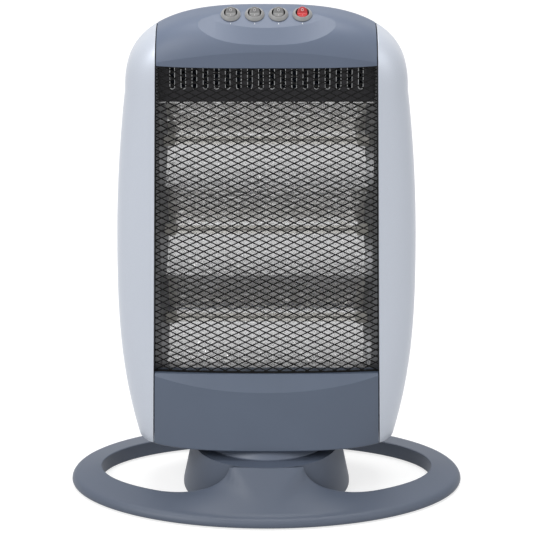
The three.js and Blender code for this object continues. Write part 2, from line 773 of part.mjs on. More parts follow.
function topCover() {
  const above = between(-BEYOND, BEYOND, opening.top, BEYOND);
  const shelf = between(-BEYOND, shelfBack, opening.top, opening.top + body.wall).intersect(outerBody);
  const cover = shell.add(shelf).intersect(betweenSeams(-SEAM / 2)).intersect(frontHalf).intersect(above);
  const holes = switchPlaces().map((x) => toPanel(
    bar(rocker.barrelRadius + GAP, [0, 0, -rocker.barrelDepth], [0, 0, rocker.barrelDepth], 24), x,
  ));
  return cover.subtract(unite(holes));
}

function bottomCover() {
  const below = between(-BEYOND, BEYOND, -BEYOND, opening.bottom);
  const shelf = between(-BEYOND, shelfBack, opening.bottom - body.wall, opening.bottom)
    .intersect(outerBody);
  return shell.add(shelf).intersect(betweenSeams(-SEAM / 2)).intersect(frontHalf).intersect(below);
}

// ---------------------------------------------------------------- places on the panel and inside
const switchPlaces = () => inRow(controls.switchCount, controls.switchPitch);

const panelCentre = {
  y: -controls.frontDepth + controls.switchSetback * Math.cos(degrees(controls.tilt)),
  z: body.top - controls.frontDrop + controls.switchSetback * Math.sin(degrees(controls.tilt)),
};

const toPanel = (shape, x) => shape.rotate([controls.tilt, 0, 0]).translate([x, panelCentre.y, panelCentre.z]);

// Each lamp lies along the middle of its trough.
const lampHeights = () => steps(lamp.count - 1, lowestTrough + lamp.pitch / 2, highestTrough - lamp.pitch / 2);

const backAt = (z) => bodySize(z, 0)[2];

function rearShell() {
  const { slotCount, slotPitch, slotWidth, slotHeight, upperSlots, lowerSlots } = rearCover;
  const inBack = body.backDepth - rearCover.cutDepth;
  const slots = [];
  for (const z of [body.top - upperSlots, body.bottom + lowerSlots]) {
    for (const x of inRow(slotCount, slotPitch)) {
      slots.push(block(x - slotWidth / 2, x + slotWidth / 2, inBack, BEYOND, z, z + slotHeight));
    }
  }
  const { handleHalfWidth, handleHeight, handleDrop, handleDepth } = rearCover;
  const handleZ = body.top - handleDrop;
  const handleY = backAt(handleZ) - handleDepth;
  const wall = body.wall;
  const pocket = block(
    -handleHalfWidth - wall, handleHalfWidth + wall,
    handleY - wall, BEYOND,
    handleZ - wall, handleZ + handleHeight + wall,
  ).intersect(outerBody);
  const grip = block(-handleHalfWidth, handleHalfWidth, handleY, BEYOND, handleZ, handleZ + handleHeight);

  const posts = [];
  for (const z of [lampHeights()[0], lampHeights()[lamp.count - 1]]) {
    for (const x of [-reflector.postX, reflector.postX]) {
      const near = reflector.backDepth + reflector.thickness + GAP;
      posts.push(bar(reflector.postRadius, [x, near, z], [x, body.backDepth, z], 10));
    }
  }
  const bores = [];
  for (const z of screwHeights) {
    for (const x of [-rearCover.screwX, rearCover.screwX]) {
      const seat = screwSeat(z);
      posts.push(bar(rearCover.bossRadius, [x, body.splitDepth + SEAM, z], [x, body.backSkirt, z], 12));
      bores.push(bar(rearCover.screwHead + GAP, [x, seat, z], [x, body.backSkirt + 1, z], 12));
      bores.push(bar(rearCover.screwShank + GAP, [x, 0, z], [x, seat + 1, z], 8));
    }
  }
  const glandZ = body.bottom + gland.rise;
  const glandHole = bar(gland.radius + GAP, [0, inBack, glandZ], [0, BEYOND, glandZ], 20);
  return shell.intersect(rearHalf)
    .add(pocket)
    .add(unite(posts).intersect(outerBody))
    .subtract(unite(grip, slots, bores, glandHole));
}

// The screw heads sit this far back, just inside the rear cover's curved side.
function screwSeat(z) {
  const [halfWidth, , back] = bodySize(z, 0);
  const side = (rearCover.screwX + rearCover.bossRadius) / halfWidth;
  return back * (1 - side ** body.domeCurve) ** (1 / body.backCurve) - rearCover.screwSink;
}

place('top_cover', topCover(), finish.coverPlastic);
place('bottom_cover', bottomCover(), finish.lowerPlastic);
place('side_panel_left', sidePanel(-1), finish.silverPaint);
place('side_panel_right', sidePanel(1), finish.silverPaint);
place('rear_cover', rearShell(), finish.rearPlastic);

for (const [level, z] of [['lower', screwHeights[0]], ['upper', screwHeights[1]]]) {
  for (const [side, x] of [['left', -rearCover.screwX], ['right', rearCover.screwX]]) {
    const seat = screwSeat(z) + GAP;
    const head = bar(rearCover.screwHead, [x, seat, z], [x, seat + 2.6, z], 12);
    const shank = bar(rearCover.screwShank, [x, 8, z], [x, seat + 1, z], 8);
    const drivePoint = block(x - 0.6, x + 0.6, seat + 1.4, seat + 4, z - 2.2, z + 2.2);
    place(`rear_screw_${level}_${side}`, head.add(shank).subtract(drivePoint), finish.zinc);
  }
}

// ---------------------------------------------------------------- reflector and chamber

// Side plate's face at a given depth: it closes in towards the back.
const sideX = (y) => {
  const { backDepth, sideFrontDepth, sideFrontX, sideBackX } = reflector;
  return sideBackX + ((backDepth - y) / (backDepth - sideFrontDepth)) * (sideFrontX - sideBackX);
};

function troughs() {
  const { backDepth, ridgeDepth, lipDepth, thickness } = reflector;
  const half = lamp.pitch / 2;
  const curve = [];
  lampHeights().forEach((centre) => {
    steps(8, -half, half).slice(0, -1).forEach((z) => {
      curve.push([backDepth - (backDepth - ridgeDepth) * (z / half) ** 2, centre + z]);
    });
  });
  curve.push([ridgeDepth, highestTrough]);
  const face = [[lipDepth, lowestTrough], ...curve, [lipDepth, highestTrough]];
  const back = [
    [lipDepth, highestTrough + thickness],
    ...curve.map(([y, z], i) => {
      if (i === 0) return [y + thickness, z - thickness];
      return [y + thickness, i === curve.length - 1 ? z + thickness : z];
    }).reverse(),
    [lipDepth, lowestTrough - thickness],
  ];
  const inside = [lipDepth - 1, backDepth + 5].map((y) => [sideX(y) - GAP, y]);
  const plan = [...inside, ...inside.map(([x, y]) => [-x, y]).reverse()];
  const sheet = drawn([...face, ...back], -BEYOND, BEYOND);
  return sheet.intersect(raised(plan, lowestTrough - 5, highestTrough + 5));
}

function sidePlate(side) {
  const { sideFrontDepth, backDepth, sideThickness } = reflector;
  const plan = [sideFrontDepth, backDepth].map((y) => [side * sideX(y), y]);
  const back = plan.map(([x, y]) => [x + side * sideThickness, y]).reverse();
  const plate = raised([...plan, ...back], lowestTrough, opening.top - GAP);
  const holes = lampHeights().map((z) => bar(
    lamp.capRadius + GAP, [0, lamp.depth, z], [side * BEYOND, lamp.depth, z], 12,
  ));
  return plate.subtract(unite(holes));
}

function ventPlate() {
  const { ventDepth, ventThickness, ventFoot, ventTop, ventSlots } = reflector;
  const { ventPitch, ventSlotWidth, ventSlotDrop, ventMargin } = reflector;
  const half = sideX(ventDepth) - GAP;
  const low = highestTrough + reflector.thickness + GAP;
  const high = opening.top + ventTop;
  const wall = block(-half, half, ventDepth, ventDepth + ventThickness, low, high);
  const footBack = ventDepth + ventFoot;
  const footHalf = sideX(footBack) - GAP;
  const foot = block(-footHalf, footHalf, ventDepth, footBack, low, low + ventThickness);
  const slots = inRow(ventSlots, ventPitch).map((x) => {
    const end = opening.top - ventSlotDrop;
    const round = ventSlotWidth / 2;
    return through([
      [x - round, end], [x - round * 0.5, end - round], [x + round * 0.5, end - round],
      [x + round, end], [x + round, high - ventMargin], [x - round, high - ventMargin],
    ]);
  });
  return wall.add(foot).subtract(unite(slots));
}

place('reflector', troughs(), finish.mirrorSteel);
place('reflector_side_left', sidePlate(-1), finish.mirrorSteel);
place('reflector_side_right', sidePlate(1), finish.mirrorSteel);
place('vent_plate', ventPlate(), finish.darkSteel);

lampHeights().forEach((z, i) => {
  const name = `lamp_${i + 1}`;
  const axis = (from, to, radius, sides) => bar(radius, [from, lamp.depth, z], [to, lamp.depth, z], sides);
  const bore = lamp.tubeRadius - lamp.tubeWall;
  const tube = axis(-lamp.tubeHalfLength, lamp.tubeHalfLength, lamp.tubeRadius, 12)
    .subtract(axis(-BEYOND, BEYOND, bore, 12));
  place(`${name}_tube`, tube, finish.quartz);
  const coilEnd = lamp.tubeHalfLength - 2;
  const discs = steps(lamp.supportCount - 1, -coilEnd + 6, coilEnd - 6).map((x) => axis(
    x, x + lamp.supportThickness, bore - GAP, 6,
  ));
  place(`${name}_filament`, unite(axis(-coilEnd, coilEnd, lamp.coilRadius, 6), discs), finish.tungsten);
  for (const [side, sign] of [['left', -1], ['right', 1]]) {
    const cap = axis(sign * lamp.capStart, sign * (lamp.capStart + lamp.capLength), lamp.capRadius, 12);
    const socket = axis(0, sign * (lamp.tubeHalfLength + GAP), lamp.tubeRadius + GAP, 12);
    place(`${name}_cap_${side}`, cap.subtract(socket), finish.ceramic);
  }
});

{
  const z = lampHeights()[1];
  const back = reflector.backDepth + reflector.thickness + GAP;
  const can = bar(reflector.cutoutRadius, [0, back, z], [0, back + 7, z], 16);
  const blades = inRow(2, 8).map((x) => block(x - 1.6, x + 1.6, back + 6, back + 14, z - 0.4, z + 0.4));
  place('thermal_cutout', unite(can, blades), finish.zinc);
}

// ---------------------------------------------------------------- grille

// Wires run both ways across the opening in two layers, and end inside the frame's bars.
// The bars at the sides lean in towards the top.
function wireGrille() {
  const { cellWidth, cellHeight, wire, setback, frameWidth, frameDepth } = grille;
  const [low, high] = [opening.bottom + GAP, opening.top - GAP];
  const lean = (body.seamTop - body.seamBottom) / body.height;
  const halfAt = (z) => body.seamBottom + lean * (z - body.bottom) + SEAM / 2 - GAP;
  const slope = cellHeight / cellWidth;
  const half = halfAt(low);
  // The grille follows the covers' bulge in three flats, folded along the same two lines.
  const folds = steps(3, -half, half);
  const depthAt = (x) => {
    const i = Math.min(2, Math.max(0, Math.floor(((x + half) / (2 * half)) * 3)));
    const share = (x - folds[i]) / (folds[i + 1] - folds[i]);
    return setback + edgeDepth(folds[i]) * (1 - share) + edgeDepth(folds[i + 1]) * share;
  };
  const endInset = frameWidth * 0.6;
  const [reachLow, reachHigh] = [low + endInset, high - endInset];
  const wires = [];
  const spread = half * slope;
  const middle = (low + high) / 2;
  const count = Math.floor(((high - low) / 2 + spread) / cellHeight);
  for (const direction of [-1, 1]) {
    const layer = direction * (wire / 2 + GAP / 2);
    for (let k = -count; k <= count; k += 1) {
      const start = middle + k * cellHeight;
      const crossings = [reachLow, reachHigh].map((z) => ((z - start) * direction) / slope);
      const sides = [-1, 1].map((side) => (
        (side * (halfAt(start) - endInset)) / (1 - side * lean * direction * slope)
      ));
      const from = Math.max(sides[0], Math.min(...crossings));
      const to = Math.min(sides[1], Math.max(...crossings));
      if (to - from < cellWidth / 2) continue;
      const bends = folds.slice(1, -1).filter((x) => x > from + wire && x < to - wire);
      wires.push(skin([from, ...bends, to].map((x) => {
        const z = start + direction * slope * x;
        const y = depthAt(x) + frameDepth / 2 + layer;
        const [t, h] = [wire / 2, (wire / 2) * Math.hypot(1, slope)];
        return [[x, y - t, z - h], [x, y + t, z], [x, y - t, z + h]];
      })));
    }
  }
  const plan = (inset) => [-half - 10, ...folds.slice(1, -1), half + 10].map((x) => [x, depthAt(x) + inset]);
  const band = raised([...plan(0), ...plan(frameDepth).reverse()], low, high);
  const trapezium = (inset) => {
    const [bottom, top] = [low + inset, high - inset];
    return through([
      [-halfAt(bottom) + inset, bottom], [halfAt(bottom) - inset, bottom],
      [halfAt(top) - inset, top], [-halfAt(top) + inset, top],
    ]);
  };
  const frame = band.intersect(trapezium(0)).subtract(trapezium(frameWidth));
  return unite(frame, wires);
}

place('grille', wireGrille(), finish.blackWire);

// ---------------------------------------------------------------- switches on the control panel
const hingeLine = (radius, reach) => bar(
  radius, [-reach, 0, rocker.pivotHeight], [reach, 0, rocker.pivotHeight], 8,
);

function switchHousing() {
  const { bezelRadius, bezelTopRadius, bezelHeight, bezelEdge, barrelRadius, barrelDepth } = rocker;
  const barrel = turned([
    [0, -barrelDepth], [barrelRadius, -barrelDepth], [barrelRadius, GAP], [bezelRadius, GAP],
    [bezelRadius, bezelEdge], [bezelTopRadius, bezelHeight], [rocker.boreRadius, bezelHeight],
    [rocker.boreRadius, -rocker.boreDepth], [0, -rocker.boreDepth],
  ], 20);
  return barrel.subtract(hingeLine(rocker.pinRadius + GAP, rocker.boreRadius + rocker.pinLength));
}

// A ball cut to a shallow V on top, tipped back with its rear half raised.
function rockerButton() {
  const { buttonRadius, buttonDepth, faceAngle, travel, pinRadius, pinLength, pivotHeight } = rocker;
  const reach = buttonRadius + 2;
  const rise = Math.tan(degrees(faceAngle)) * reach;
  const dished = drawn(
    [[-reach, rise], [-reach, -buttonDepth], [reach, -buttonDepth], [reach, rise], [0, 0]], -reach, reach,
  );
  const ball = solid(new THREE.SphereGeometry(buttonRadius, 16, 8).rotateX(Math.PI / 2));
  const tipped = dished.intersect(ball).rotate([travel / 2, 0, 0]).translate([0, 0, pivotHeight]);
  return tipped.add(hingeLine(pinRadius, buttonRadius + pinLength));
}

switchPlaces().forEach((x, i) => {
  const unit = new THREE.Group();
  unit.position.set(x, panelCentre.y, panelCentre.z);
  unit.rotation.x = degrees(controls.tilt);
  heater.add(unit);
  place(`switch_housing_${i + 1}`, switchHousing(), finish.greyPlastic, unit);
  const last = i === controls.switchCount - 1;
  place(`switch_rocker_${i + 1}`, rockerButton(), last ? finish.redPlastic : finish.greyPlastic, unit);
});

// ---------------------------------------------------------------- wiring fittings
{
  const { length, depth, height, y } = terminalBlock;
  const floor = body.bottom + body.wall + GAP;
  const blockBody = block(-length / 2, length / 2, y - depth / 2, y + depth / 2, floor, floor + height);
  place('terminal_block', blockBody, finish.ceramic);
}

{
  const z = body.bottom + gland.rise;
  const back = backAt(z - gland.flange);
  const profile = [
    [gland.bore, -gland.inside], [gland.radius, -gland.inside], [gland.radius, GAP], [gland.flange, GAP],
    [gland.flange, gland.flangeThickness], [gland.bore, gland.flangeThickness + 4],
  ];
  const bush = ring(profile, 20).rotate([-90, 0, 0]).translate([0, back, z]);
  place('cable_gland', bush, finish.blackPlastic);
}

export default heater;
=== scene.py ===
# Halogen heater: three quartz lamps behind a diamond wire grille, in a moulded body that
# swings on an oval ring stand. The sections follow the heater as it is put together.

import math

import bmesh
import bpy
from mathutils import Matrix, Vector


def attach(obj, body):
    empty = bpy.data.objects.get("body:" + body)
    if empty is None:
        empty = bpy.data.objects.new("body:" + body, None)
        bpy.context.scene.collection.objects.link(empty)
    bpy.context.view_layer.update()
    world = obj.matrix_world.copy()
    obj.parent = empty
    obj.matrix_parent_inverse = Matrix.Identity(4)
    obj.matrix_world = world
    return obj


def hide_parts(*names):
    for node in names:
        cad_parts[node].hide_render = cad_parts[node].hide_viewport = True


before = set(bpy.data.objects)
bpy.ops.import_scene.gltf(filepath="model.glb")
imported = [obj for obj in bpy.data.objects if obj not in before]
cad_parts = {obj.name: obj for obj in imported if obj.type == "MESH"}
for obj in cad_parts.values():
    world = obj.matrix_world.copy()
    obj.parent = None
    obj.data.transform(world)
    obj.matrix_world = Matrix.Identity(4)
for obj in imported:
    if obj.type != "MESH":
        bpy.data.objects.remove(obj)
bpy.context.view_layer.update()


# ---------------------------------------------------------------- stand moulding
# One thick ABS moulding: an oval rim, hollow underneath, that sweeps up at the front and
# back into a pedestal. It comes from the mould with a fine even grain and a satin sheen.

MM = 0.001
STAND_BODY = "stand"
rim_half_length = 236.5
rim_half_depth = 147.5
rim_ground_gap = 2
rim_crest_inset = 10
rim_crest_height = 13.5
hole_half_length = 200.3
hole_half_depth = 99
lip_height = 20
stand_wall = 3
pedestal_top = 59
pedestal_half_width = 89
pedestal_flare_width = 101
pedestal_squareness = 2.3
crown_half_width = 44
sweep_half_width = 135
sweep_curve = 2.2
recess_radius = 80
recess_floor = 47
deck_underside = recess_floor - stand_wall
hub_radius = 14
motor_offset, shaft_radius = 44, 3
foot_radius, foot_height, foot_angle = 7, 4, 38
post_x, post_y, post_radius = 62, 52, 5
plate_top = 5
CONTACT_GAP = 0.3


def new_piece(name, points, faces):
    """A mesh object from corner points in millimetres, with its faces turned outwards."""
    mesh = bpy.data.meshes.new(name)
    mesh.from_pydata([Vector(point) * MM for point in points], [], faces)
    surface = bmesh.new()
    surface.from_mesh(mesh)
    bmesh.ops.recalc_face_normals(surface, faces=surface.faces)
    surface.to_mesh(mesh)
    surface.free()
    made = bpy.data.objects.new(name, mesh)
    bpy.context.scene.collection.objects.link(made)
    return made


def skin(name, rings, closed=False, capped=True):
    """A surface over rings of equal count. Its ends are capped, or joined if it is closed."""
    count = len(rings[0])
    points = [point for ring in rings for point in ring]
    faces = []
    for i in range(len(rings) if closed else len(rings) - 1):
        here, there = i * count, (i + 1) % len(rings) * count
        for j in range(count):
            k = (j + 1) % count
            faces.append((here + j, here + k, there + k, there + j))
    if capped and not closed:
        faces.append(tuple(range(count)))
        faces.append(tuple(range(len(points) - count, len(points))))
    return new_piece(name, points, faces)


def around(count, start=0.0):
    """Angles once round in equal steps."""
    return [start + 2 * math.pi * i / count for i in range(count)]


def spaced(count, low, high):
    """Evenly spaced values, both ends included."""
    return [low + (high - low) * i / (count - 1) for i in range(count)]


def row(count, pitch):
    """Places in a row, centred on zero."""
    reach = pitch * (count - 1) / 2
    return spaced(count, -reach, reach)


def power(value, exponent):
    return math.copysign(abs(value) ** exponent, value)


def block(x0, x1, y0, y1, z0, z1):
    corners = [[(x0, y0, z), (x1, y0, z), (x1, y1, z), (x0, y1, z)] for z in (z0, z1)]
    return skin("block", corners)


def rod(radius, start, end, sides=48):
    """A round bar between two points."""
    start, end = Vector(start), Vector(end)
    turn = Vector((0, 0, 1)).rotation_difference(end - start)
    spokes = [turn @ Vector((radius * math.cos(a), radius * math.sin(a), 0)) for a in around(sides)]
    return skin("rod", [[at + spoke for spoke in spokes] for at in (start, end)])


def combine(kept, tool, how):
    """Cuts or joins two closed pieces. The tool is used up."""
    change = kept.modifiers.new("change", "BOOLEAN")
    change.solver = "MANIFOLD"
    change.operation = how
    change.object = tool
    graph = bpy.context.evaluated_depsgraph_get()
    result = bpy.data.meshes.new_from_object(kept.evaluated_get(graph))
    kept.modifiers.clear()
    kept.data = result
    bpy.data.objects.remove(tool)
    return kept


def plus(kept, tool):
    return combine(kept, tool, "UNION")


def minus(kept, tool):
    return combine(kept, tool, "DIFFERENCE")


def within(kept, tool):
    return combine(kept, tool, "INTERSECT")


def copy_of(piece, name="copy"):
    twin = bpy.data.objects.new(name, piece.data.copy())
    bpy.context.scene.collection.objects.link(twin)
    return twin


def quick_rise(climb):
    """A curve that starts flat and ends steep, though never upright."""
    return 1 - (1 - 0.99 * climb**sweep_curve) ** (1 / sweep_curve)


def rim_height(x, part, inset):
    """Height of the rim's top, from its crease (part 0) to its inner lip (part 1). The lip
    sweeps up to the pedestal's top at the front and back, more softly towards the crease."""
    crown = crown_half_width * part
    away = (abs(x) + inset - crown) / (sweep_half_width - crown)
    climb = 1 - min(1, max(0, away))
    crisp = quick_rise(climb) / quick_rise(1)
    soft = climb**2 * (3 - 2 * climb)
    sweep = crisp * part + soft * (1 - part)
    lip = lip_height + (pedestal_top - lip_height) * sweep
    return rim_crest_height + (lip - rim_crest_height) * part - inset


def oval_angles():
    """Angles once round the oval, closer together where the lip sweeps up to the crown."""
    start = math.acos(sweep_half_width / hole_half_length)
    end = math.acos(crown_half_width / hole_half_length)
    sweep = [start + (end - start) * (1 - (1 - t) ** 3) for t in spaced(60, 0, 1)]
    quarter = [*spaced(50, 0, start)[:-1], *sweep, *spaced(9, end, math.pi / 2)[1:-1]]
    half = [*quarter, math.pi / 2, *[math.pi - a for a in quarter[:0:-1]]]
    return [*half, *[a + math.pi for a in half]]


def rim_sweep(inset, floor):
    """The rim's section swept round the oval. With an inset it is the hollow underneath."""
    # The outer edge: how far in from the rim's widest line, and how high.
    outer = [(1.5, floor), (0.5, 2.6), (0, 4), (0.2, 6), (1, 8.1), (2.3, 10), (4, 11.6), (6.6, 12.8)]
    if inset:
        outer = [(1.5, floor), (1, 8.1 - inset)]
    crest_length, crest_depth = rim_half_length - rim_crest_inset, rim_half_depth - rim_crest_inset
    rings = []
    for angle in oval_angles():
        cos, sin = math.cos(angle), math.sin(angle)
        ring = [
            ((rim_half_length - inset - back) * cos, (rim_half_depth - inset - back) * sin, height)
            for back, height in outer
        ]
        for part in (*spaced(14, 0, 0.97), 1):
            length = crest_length + (hole_half_length - crest_length) * part
            depth = crest_depth + (hole_half_depth - crest_depth) * part
            out = inset * (2 * part - 1)
            height = rim_height(length * cos, part, inset)
            if part == 1:
                height -= min(0.8, pedestal_top - height)
            ring.append(((length + out) * cos, (depth + out) * sin, height))
        ring.append(((hole_half_length + inset) * cos, (hole_half_depth + inset) * sin, floor))
        rings.append(ring)
    return skin("rim", rings, closed=True)


def pedestal_section(z, inset):
    flare = (pedestal_flare_width - pedestal_half_width) * (1 - z / pedestal_top)
    width = pedestal_half_width + flare - inset
    depth = hole_half_depth + 0.5 - inset
    bend = 2 / pedestal_squareness
    return [
        (width * power(math.cos(a), bend), depth * power(math.sin(a), bend), z)
        for a in around(160)
    ]


def foot_places():
    """The feet and their bosses sit under the middle of the rim, one in each quarter."""
    angle = math.radians(foot_angle)
    x = (rim_half_length + hole_half_length) / 2 * math.cos(angle)
    y = (rim_half_depth + hole_half_depth) / 2 * math.sin(angle)
    return [(side * x, end * y) for side in (-1, 1) for end in (-1, 1)]


def stand_moulding():
    column = skin("stand_moulding", [
        pedestal_section(rim_ground_gap, 0),
        pedestal_section(pedestal_top, 0),
    ])
    hollow = skin("hollow", [pedestal_section(z, stand_wall) for z in (-1, deck_underside)])
    inside = plus(rim_sweep(stand_wall, -1), hollow)
    inside = within(inside, block(-400, 400, -400, 400, -2, deck_underside))
    shell = plus(column, rim_sweep(0, rim_ground_gap))
    shell = minus(shell, inside)
    for x, y in foot_places():
        boss = rod(foot_radius, (x, y, foot_height + CONTACT_GAP), (x, y, lip_height))
        shell = plus(shell, within(boss, rim_sweep(1, -1)))
    for x in (-post_x, post_x):
        for y in (-post_y, post_y):
            post = rod(post_radius, (x, y, plate_top + CONTACT_GAP), (x, y, recess_floor - 1))
            shell = plus(shell, post)
    recess = rod(recess_radius, (0, 0, recess_floor), (0, 0, pedestal_top + 1), 160)
    shell = minus(shell, recess)
    for y, radius in ((0, hub_radius + CONTACT_GAP), (motor_offset, shaft_radius + 1)):
        hole = rod(radius, (0, y, deck_underside - 1), (0, y, recess_floor + 1))
        shell = minus(shell, hole)
    return shell


def finish_edges(piece, angle=32):
    """Smooth faces, with a crisp line left where the surface turns by more than the angle."""
    piece.data.shade_smooth()
    piece.data.set_sharp_from_angle(angle=math.radians(angle))
    return piece


def linear(hex_colour):
    """An sRGB hex colour as the linear values that a shader takes."""
    channels = [int(hex_colour[i:i + 2], 16) / 255 for i in (1, 3, 5)]
    return [c / 12.92 if c <= 0.04045 else ((c + 0.055) / 1.055) ** 2.4 for c in channels] + [1]


def add_node(tree, kind, inputs, **settings):
    """A node with its settings, and its inputs set to a value or linked from a socket."""
    made = tree.nodes.new(kind)
    for name, value in settings.items():
        setattr(made, name, value)
    for name, value in inputs.items():
        if isinstance(value, bpy.types.NodeSocket):
            tree.links.new(value, made.inputs[name])
        else:
            made.inputs[name].default_value = value
    return made


def new_material(name, values):
    """A material with one shader, whose own sockets hold the values that are even all over."""
    material = bpy.data.materials.new(name)
    material.use_nodes = True
    shader = material.node_tree.nodes["Principled BSDF"]
    for socket, value in values.items():
        shader.inputs[socket].default_value = value
    return material, material.node_tree, shader


def noise(tree, size, detail=2):
    """Noise that is fixed to the piece, with features of about this size."""
    place = add_node(tree, "ShaderNodeTexCoord", {}).outputs["Object"]
    made = add_node(tree, "ShaderNodeTexNoise", {"Vector": place, "Scale": 1 / size, "Detail": detail})
    return made.outputs["Fac"]


def streaks(tree, length, width):
    """Noise drawn out along X, as rolling and drawing leave it."""
    place = add_node(tree, "ShaderNodeTexCoord", {}).outputs["Object"]
    along = add_node(tree, "ShaderNodeMapping", {
        "Vector": place, "Scale": (1 / length, 1 / width, 1 / width),
    })
    made = add_node(tree, "ShaderNodeTexNoise", {"Vector": along.outputs["Vector"], "Scale": 1.0})
    return made.outputs["Fac"]


def spread(tree, value, low, high):
    """A value from 0 to 1, spread between two others."""
    made = add_node(tree, "ShaderNodeMapRange", {"Value": value, "To Min": low, "To Max": high})
    return made.outputs["Result"]


def blend(tree, factor, first, second):
    """A mix of two hex colours."""
    made = add_node(tree, "ShaderNodeMix", {
        "Factor": factor, "A": linear(first), "B": linear(second),
    }, data_type="RGBA")
    return made.outputs["Result"]


def tinted(tree, colour, factor):
    """A hex colour made lighter or darker by a factor."""
    made = add_node(tree, "ShaderNodeVectorMath", {
        0: linear(colour)[:3], "Scale": factor,
    }, operation="SCALE")
    return made.outputs["Vector"]


def rounded_by(tree, radius):
    """Edges that look rounded by this radius."""
    return add_node(tree, "ShaderNodeBevel", {"Radius": radius}, samples=4).outputs["Normal"]


def bumped(tree, height, strength, depth, normal=None):
    """A surface raised by a height of up to this depth, over another bump if one is given."""
    inputs = {"Height": height, "Strength": strength, "Distance": depth}
    if normal:
        inputs["Normal"] = normal
    return add_node(tree, "ShaderNodeBump", inputs).outputs["Normal"]


def link(tree, shader, sockets):
    for name, socket in sockets.items():
        tree.links.new(socket, shader.inputs[name])


def moulded_abs(name, colour, roughness, edge_radius=0.8):
    """ABS from a spark-eroded mould: a grain of about 0.5 mm that breaks up the sheen, and
    edges rounded by the mould. A slow drift in colour comes from the flow of the melt."""
    material, tree, shader = new_material(name, {"Roughness": roughness, "IOR": 1.53})
    grain, flow = noise(tree, 0.5 * MM), noise(tree, 70 * MM)
    drift = add_node(tree, "ShaderNodeMapRange", {
        "Value": flow, "From Min": 0.3, "From Max": 0.7, "To Min": 0.97, "To Max": 1.03,
    })
    link(tree, shader, {
        "Base Color": tinted(tree, colour, drift.outputs["Result"]),
        "Normal": bumped(tree, grain, 0.12, 0.05 * MM, rounded_by(tree, edge_radius * MM)),
    })
    return material


def dress(piece, material, body, slot=None, *nodes):
    """Gives a piece its material, its body and the CAD nodes it stands for. The slot for its finish is
    not used.
    """
    piece.data.materials.clear()
    piece.data.materials.append(material)
    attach(piece, body)
    if nodes:
        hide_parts(*nodes)
    return piece


stand_abs = moulded_abs("moulded_abs_slate", "#4f5868", 0.5)
dress(finish_edges(stand_moulding(), 50), stand_abs, STAND_BODY, "stand_plastic", "stand_shell")


# ---------------------------------------------------------------- under the pedestal
# A flat plate closes the pedestal from below and carries the tip-over switch, whose plunger
# the floor pushes in. The stand rests on four moulded rubber feet.

def redress(node, material, angle=35):
    """A CAD node whose shape is right keeps it, and gets its finish."""
    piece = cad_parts[node]
    piece.data.materials.clear()
    piece.data.materials.append(material)
    piece.data.shade_smooth()
    piece.data.set_sharp_from_angle(angle=math.radians(angle))


def moulded_rubber(name, colour):
    """Rubber from a ground mould: matt, with a faint grain and a soft sheen at a low angle."""
    material, tree, shader = new_material(name, {"Roughness": 0.78, "IOR": 1.52})
    link(tree, shader, {"Base Color": blend(tree, noise(tree, 0.8 * MM), colour, "#2a2a2c")})
    return material


black_abs = moulded_abs("moulded_abs_black", "#222326", 0.5)
foot_rubber = moulded_rubber("moulded_rubber", "#1d1d1f")
for node in ("stand_base_plate", "tip_microswitch", "tip_plunger"):
    redress(node, black_abs)
for node in ("foot_front_left", "foot_front_right", "foot_rear_left", "foot_rear_right"):
    redress(node, foot_rubber)


# ---------------------------------------------------------------- swing drive
# A small synchronous motor with a zinc-plated can hangs under the pedestal's deck. Its crank
# pin works in a slot under the turntable, which a pressed steel washer holds down.

def zinc_plated_steel(name, colour):
    """Sheet and bar steel with bright zinc plating: cool grey, with a soft cloudy sheen from
    the crystals of the plating."""
    material, tree, shader = new_material(name, {"Metallic": 1.0})
    cloud = noise(tree, 6 * MM, 4)
    link(tree, shader, {
        "Roughness": spread(tree, cloud, 0.25, 0.45),
        "Base Color": blend(tree, cloud, colour, "#8f9296"),
    })
    return material


zinc = zinc_plated_steel("zinc_plated_steel", "#b4b7ba")
for node in ("swing_motor", "swing_crank", "turntable_washer"):
    redress(node, zinc)


# ---------------------------------------------------------------- turntable
# A shallow ABS disc, screwed to the body, that turns in the pedestal's round recess. Its rim
# leans in at the top, and light catches it between the pedestal and the body.

HEATER_BODY = "heater"
body_bottom = 71
turntable_radius = 78.5
turntable_bevel = 7.5
turntable_rim = 4.5
turntable_plate = 8.5
spigot_radius = 8


def turned(name, profile, sides=96):
    """A [radius, height] profile, from axis to axis or closed on itself, turned about Z."""
    open_ends = profile[0][0] < 0.001
    rows = [
        [(radius * math.cos(a), radius * math.sin(a), height) for a in around(sides)]
        for radius, height in profile
        if radius >= 0.001
    ]
    return skin(name, rows, closed=not open_ends)


def rounded_corners(profile, radius, steps=4):
    """The same profile with each inner corner replaced by a short arc."""
    points = [Vector(point) for point in profile]
    made = [points[0]]
    for before, corner, after in zip(points, points[1:], points[2:]):
        reach = min(radius, (before - corner).length / 2, (after - corner).length / 2)
        start = corner + (before - corner).normalized() * reach
        end = corner + (after - corner).normalized() * reach
        for i in range(steps + 1):
            t = i / steps
            made.append(start * (1 - t) ** 2 + corner * 2 * t * (1 - t) + end * t**2)
    return [tuple(point) for point in made + [points[-1]]]


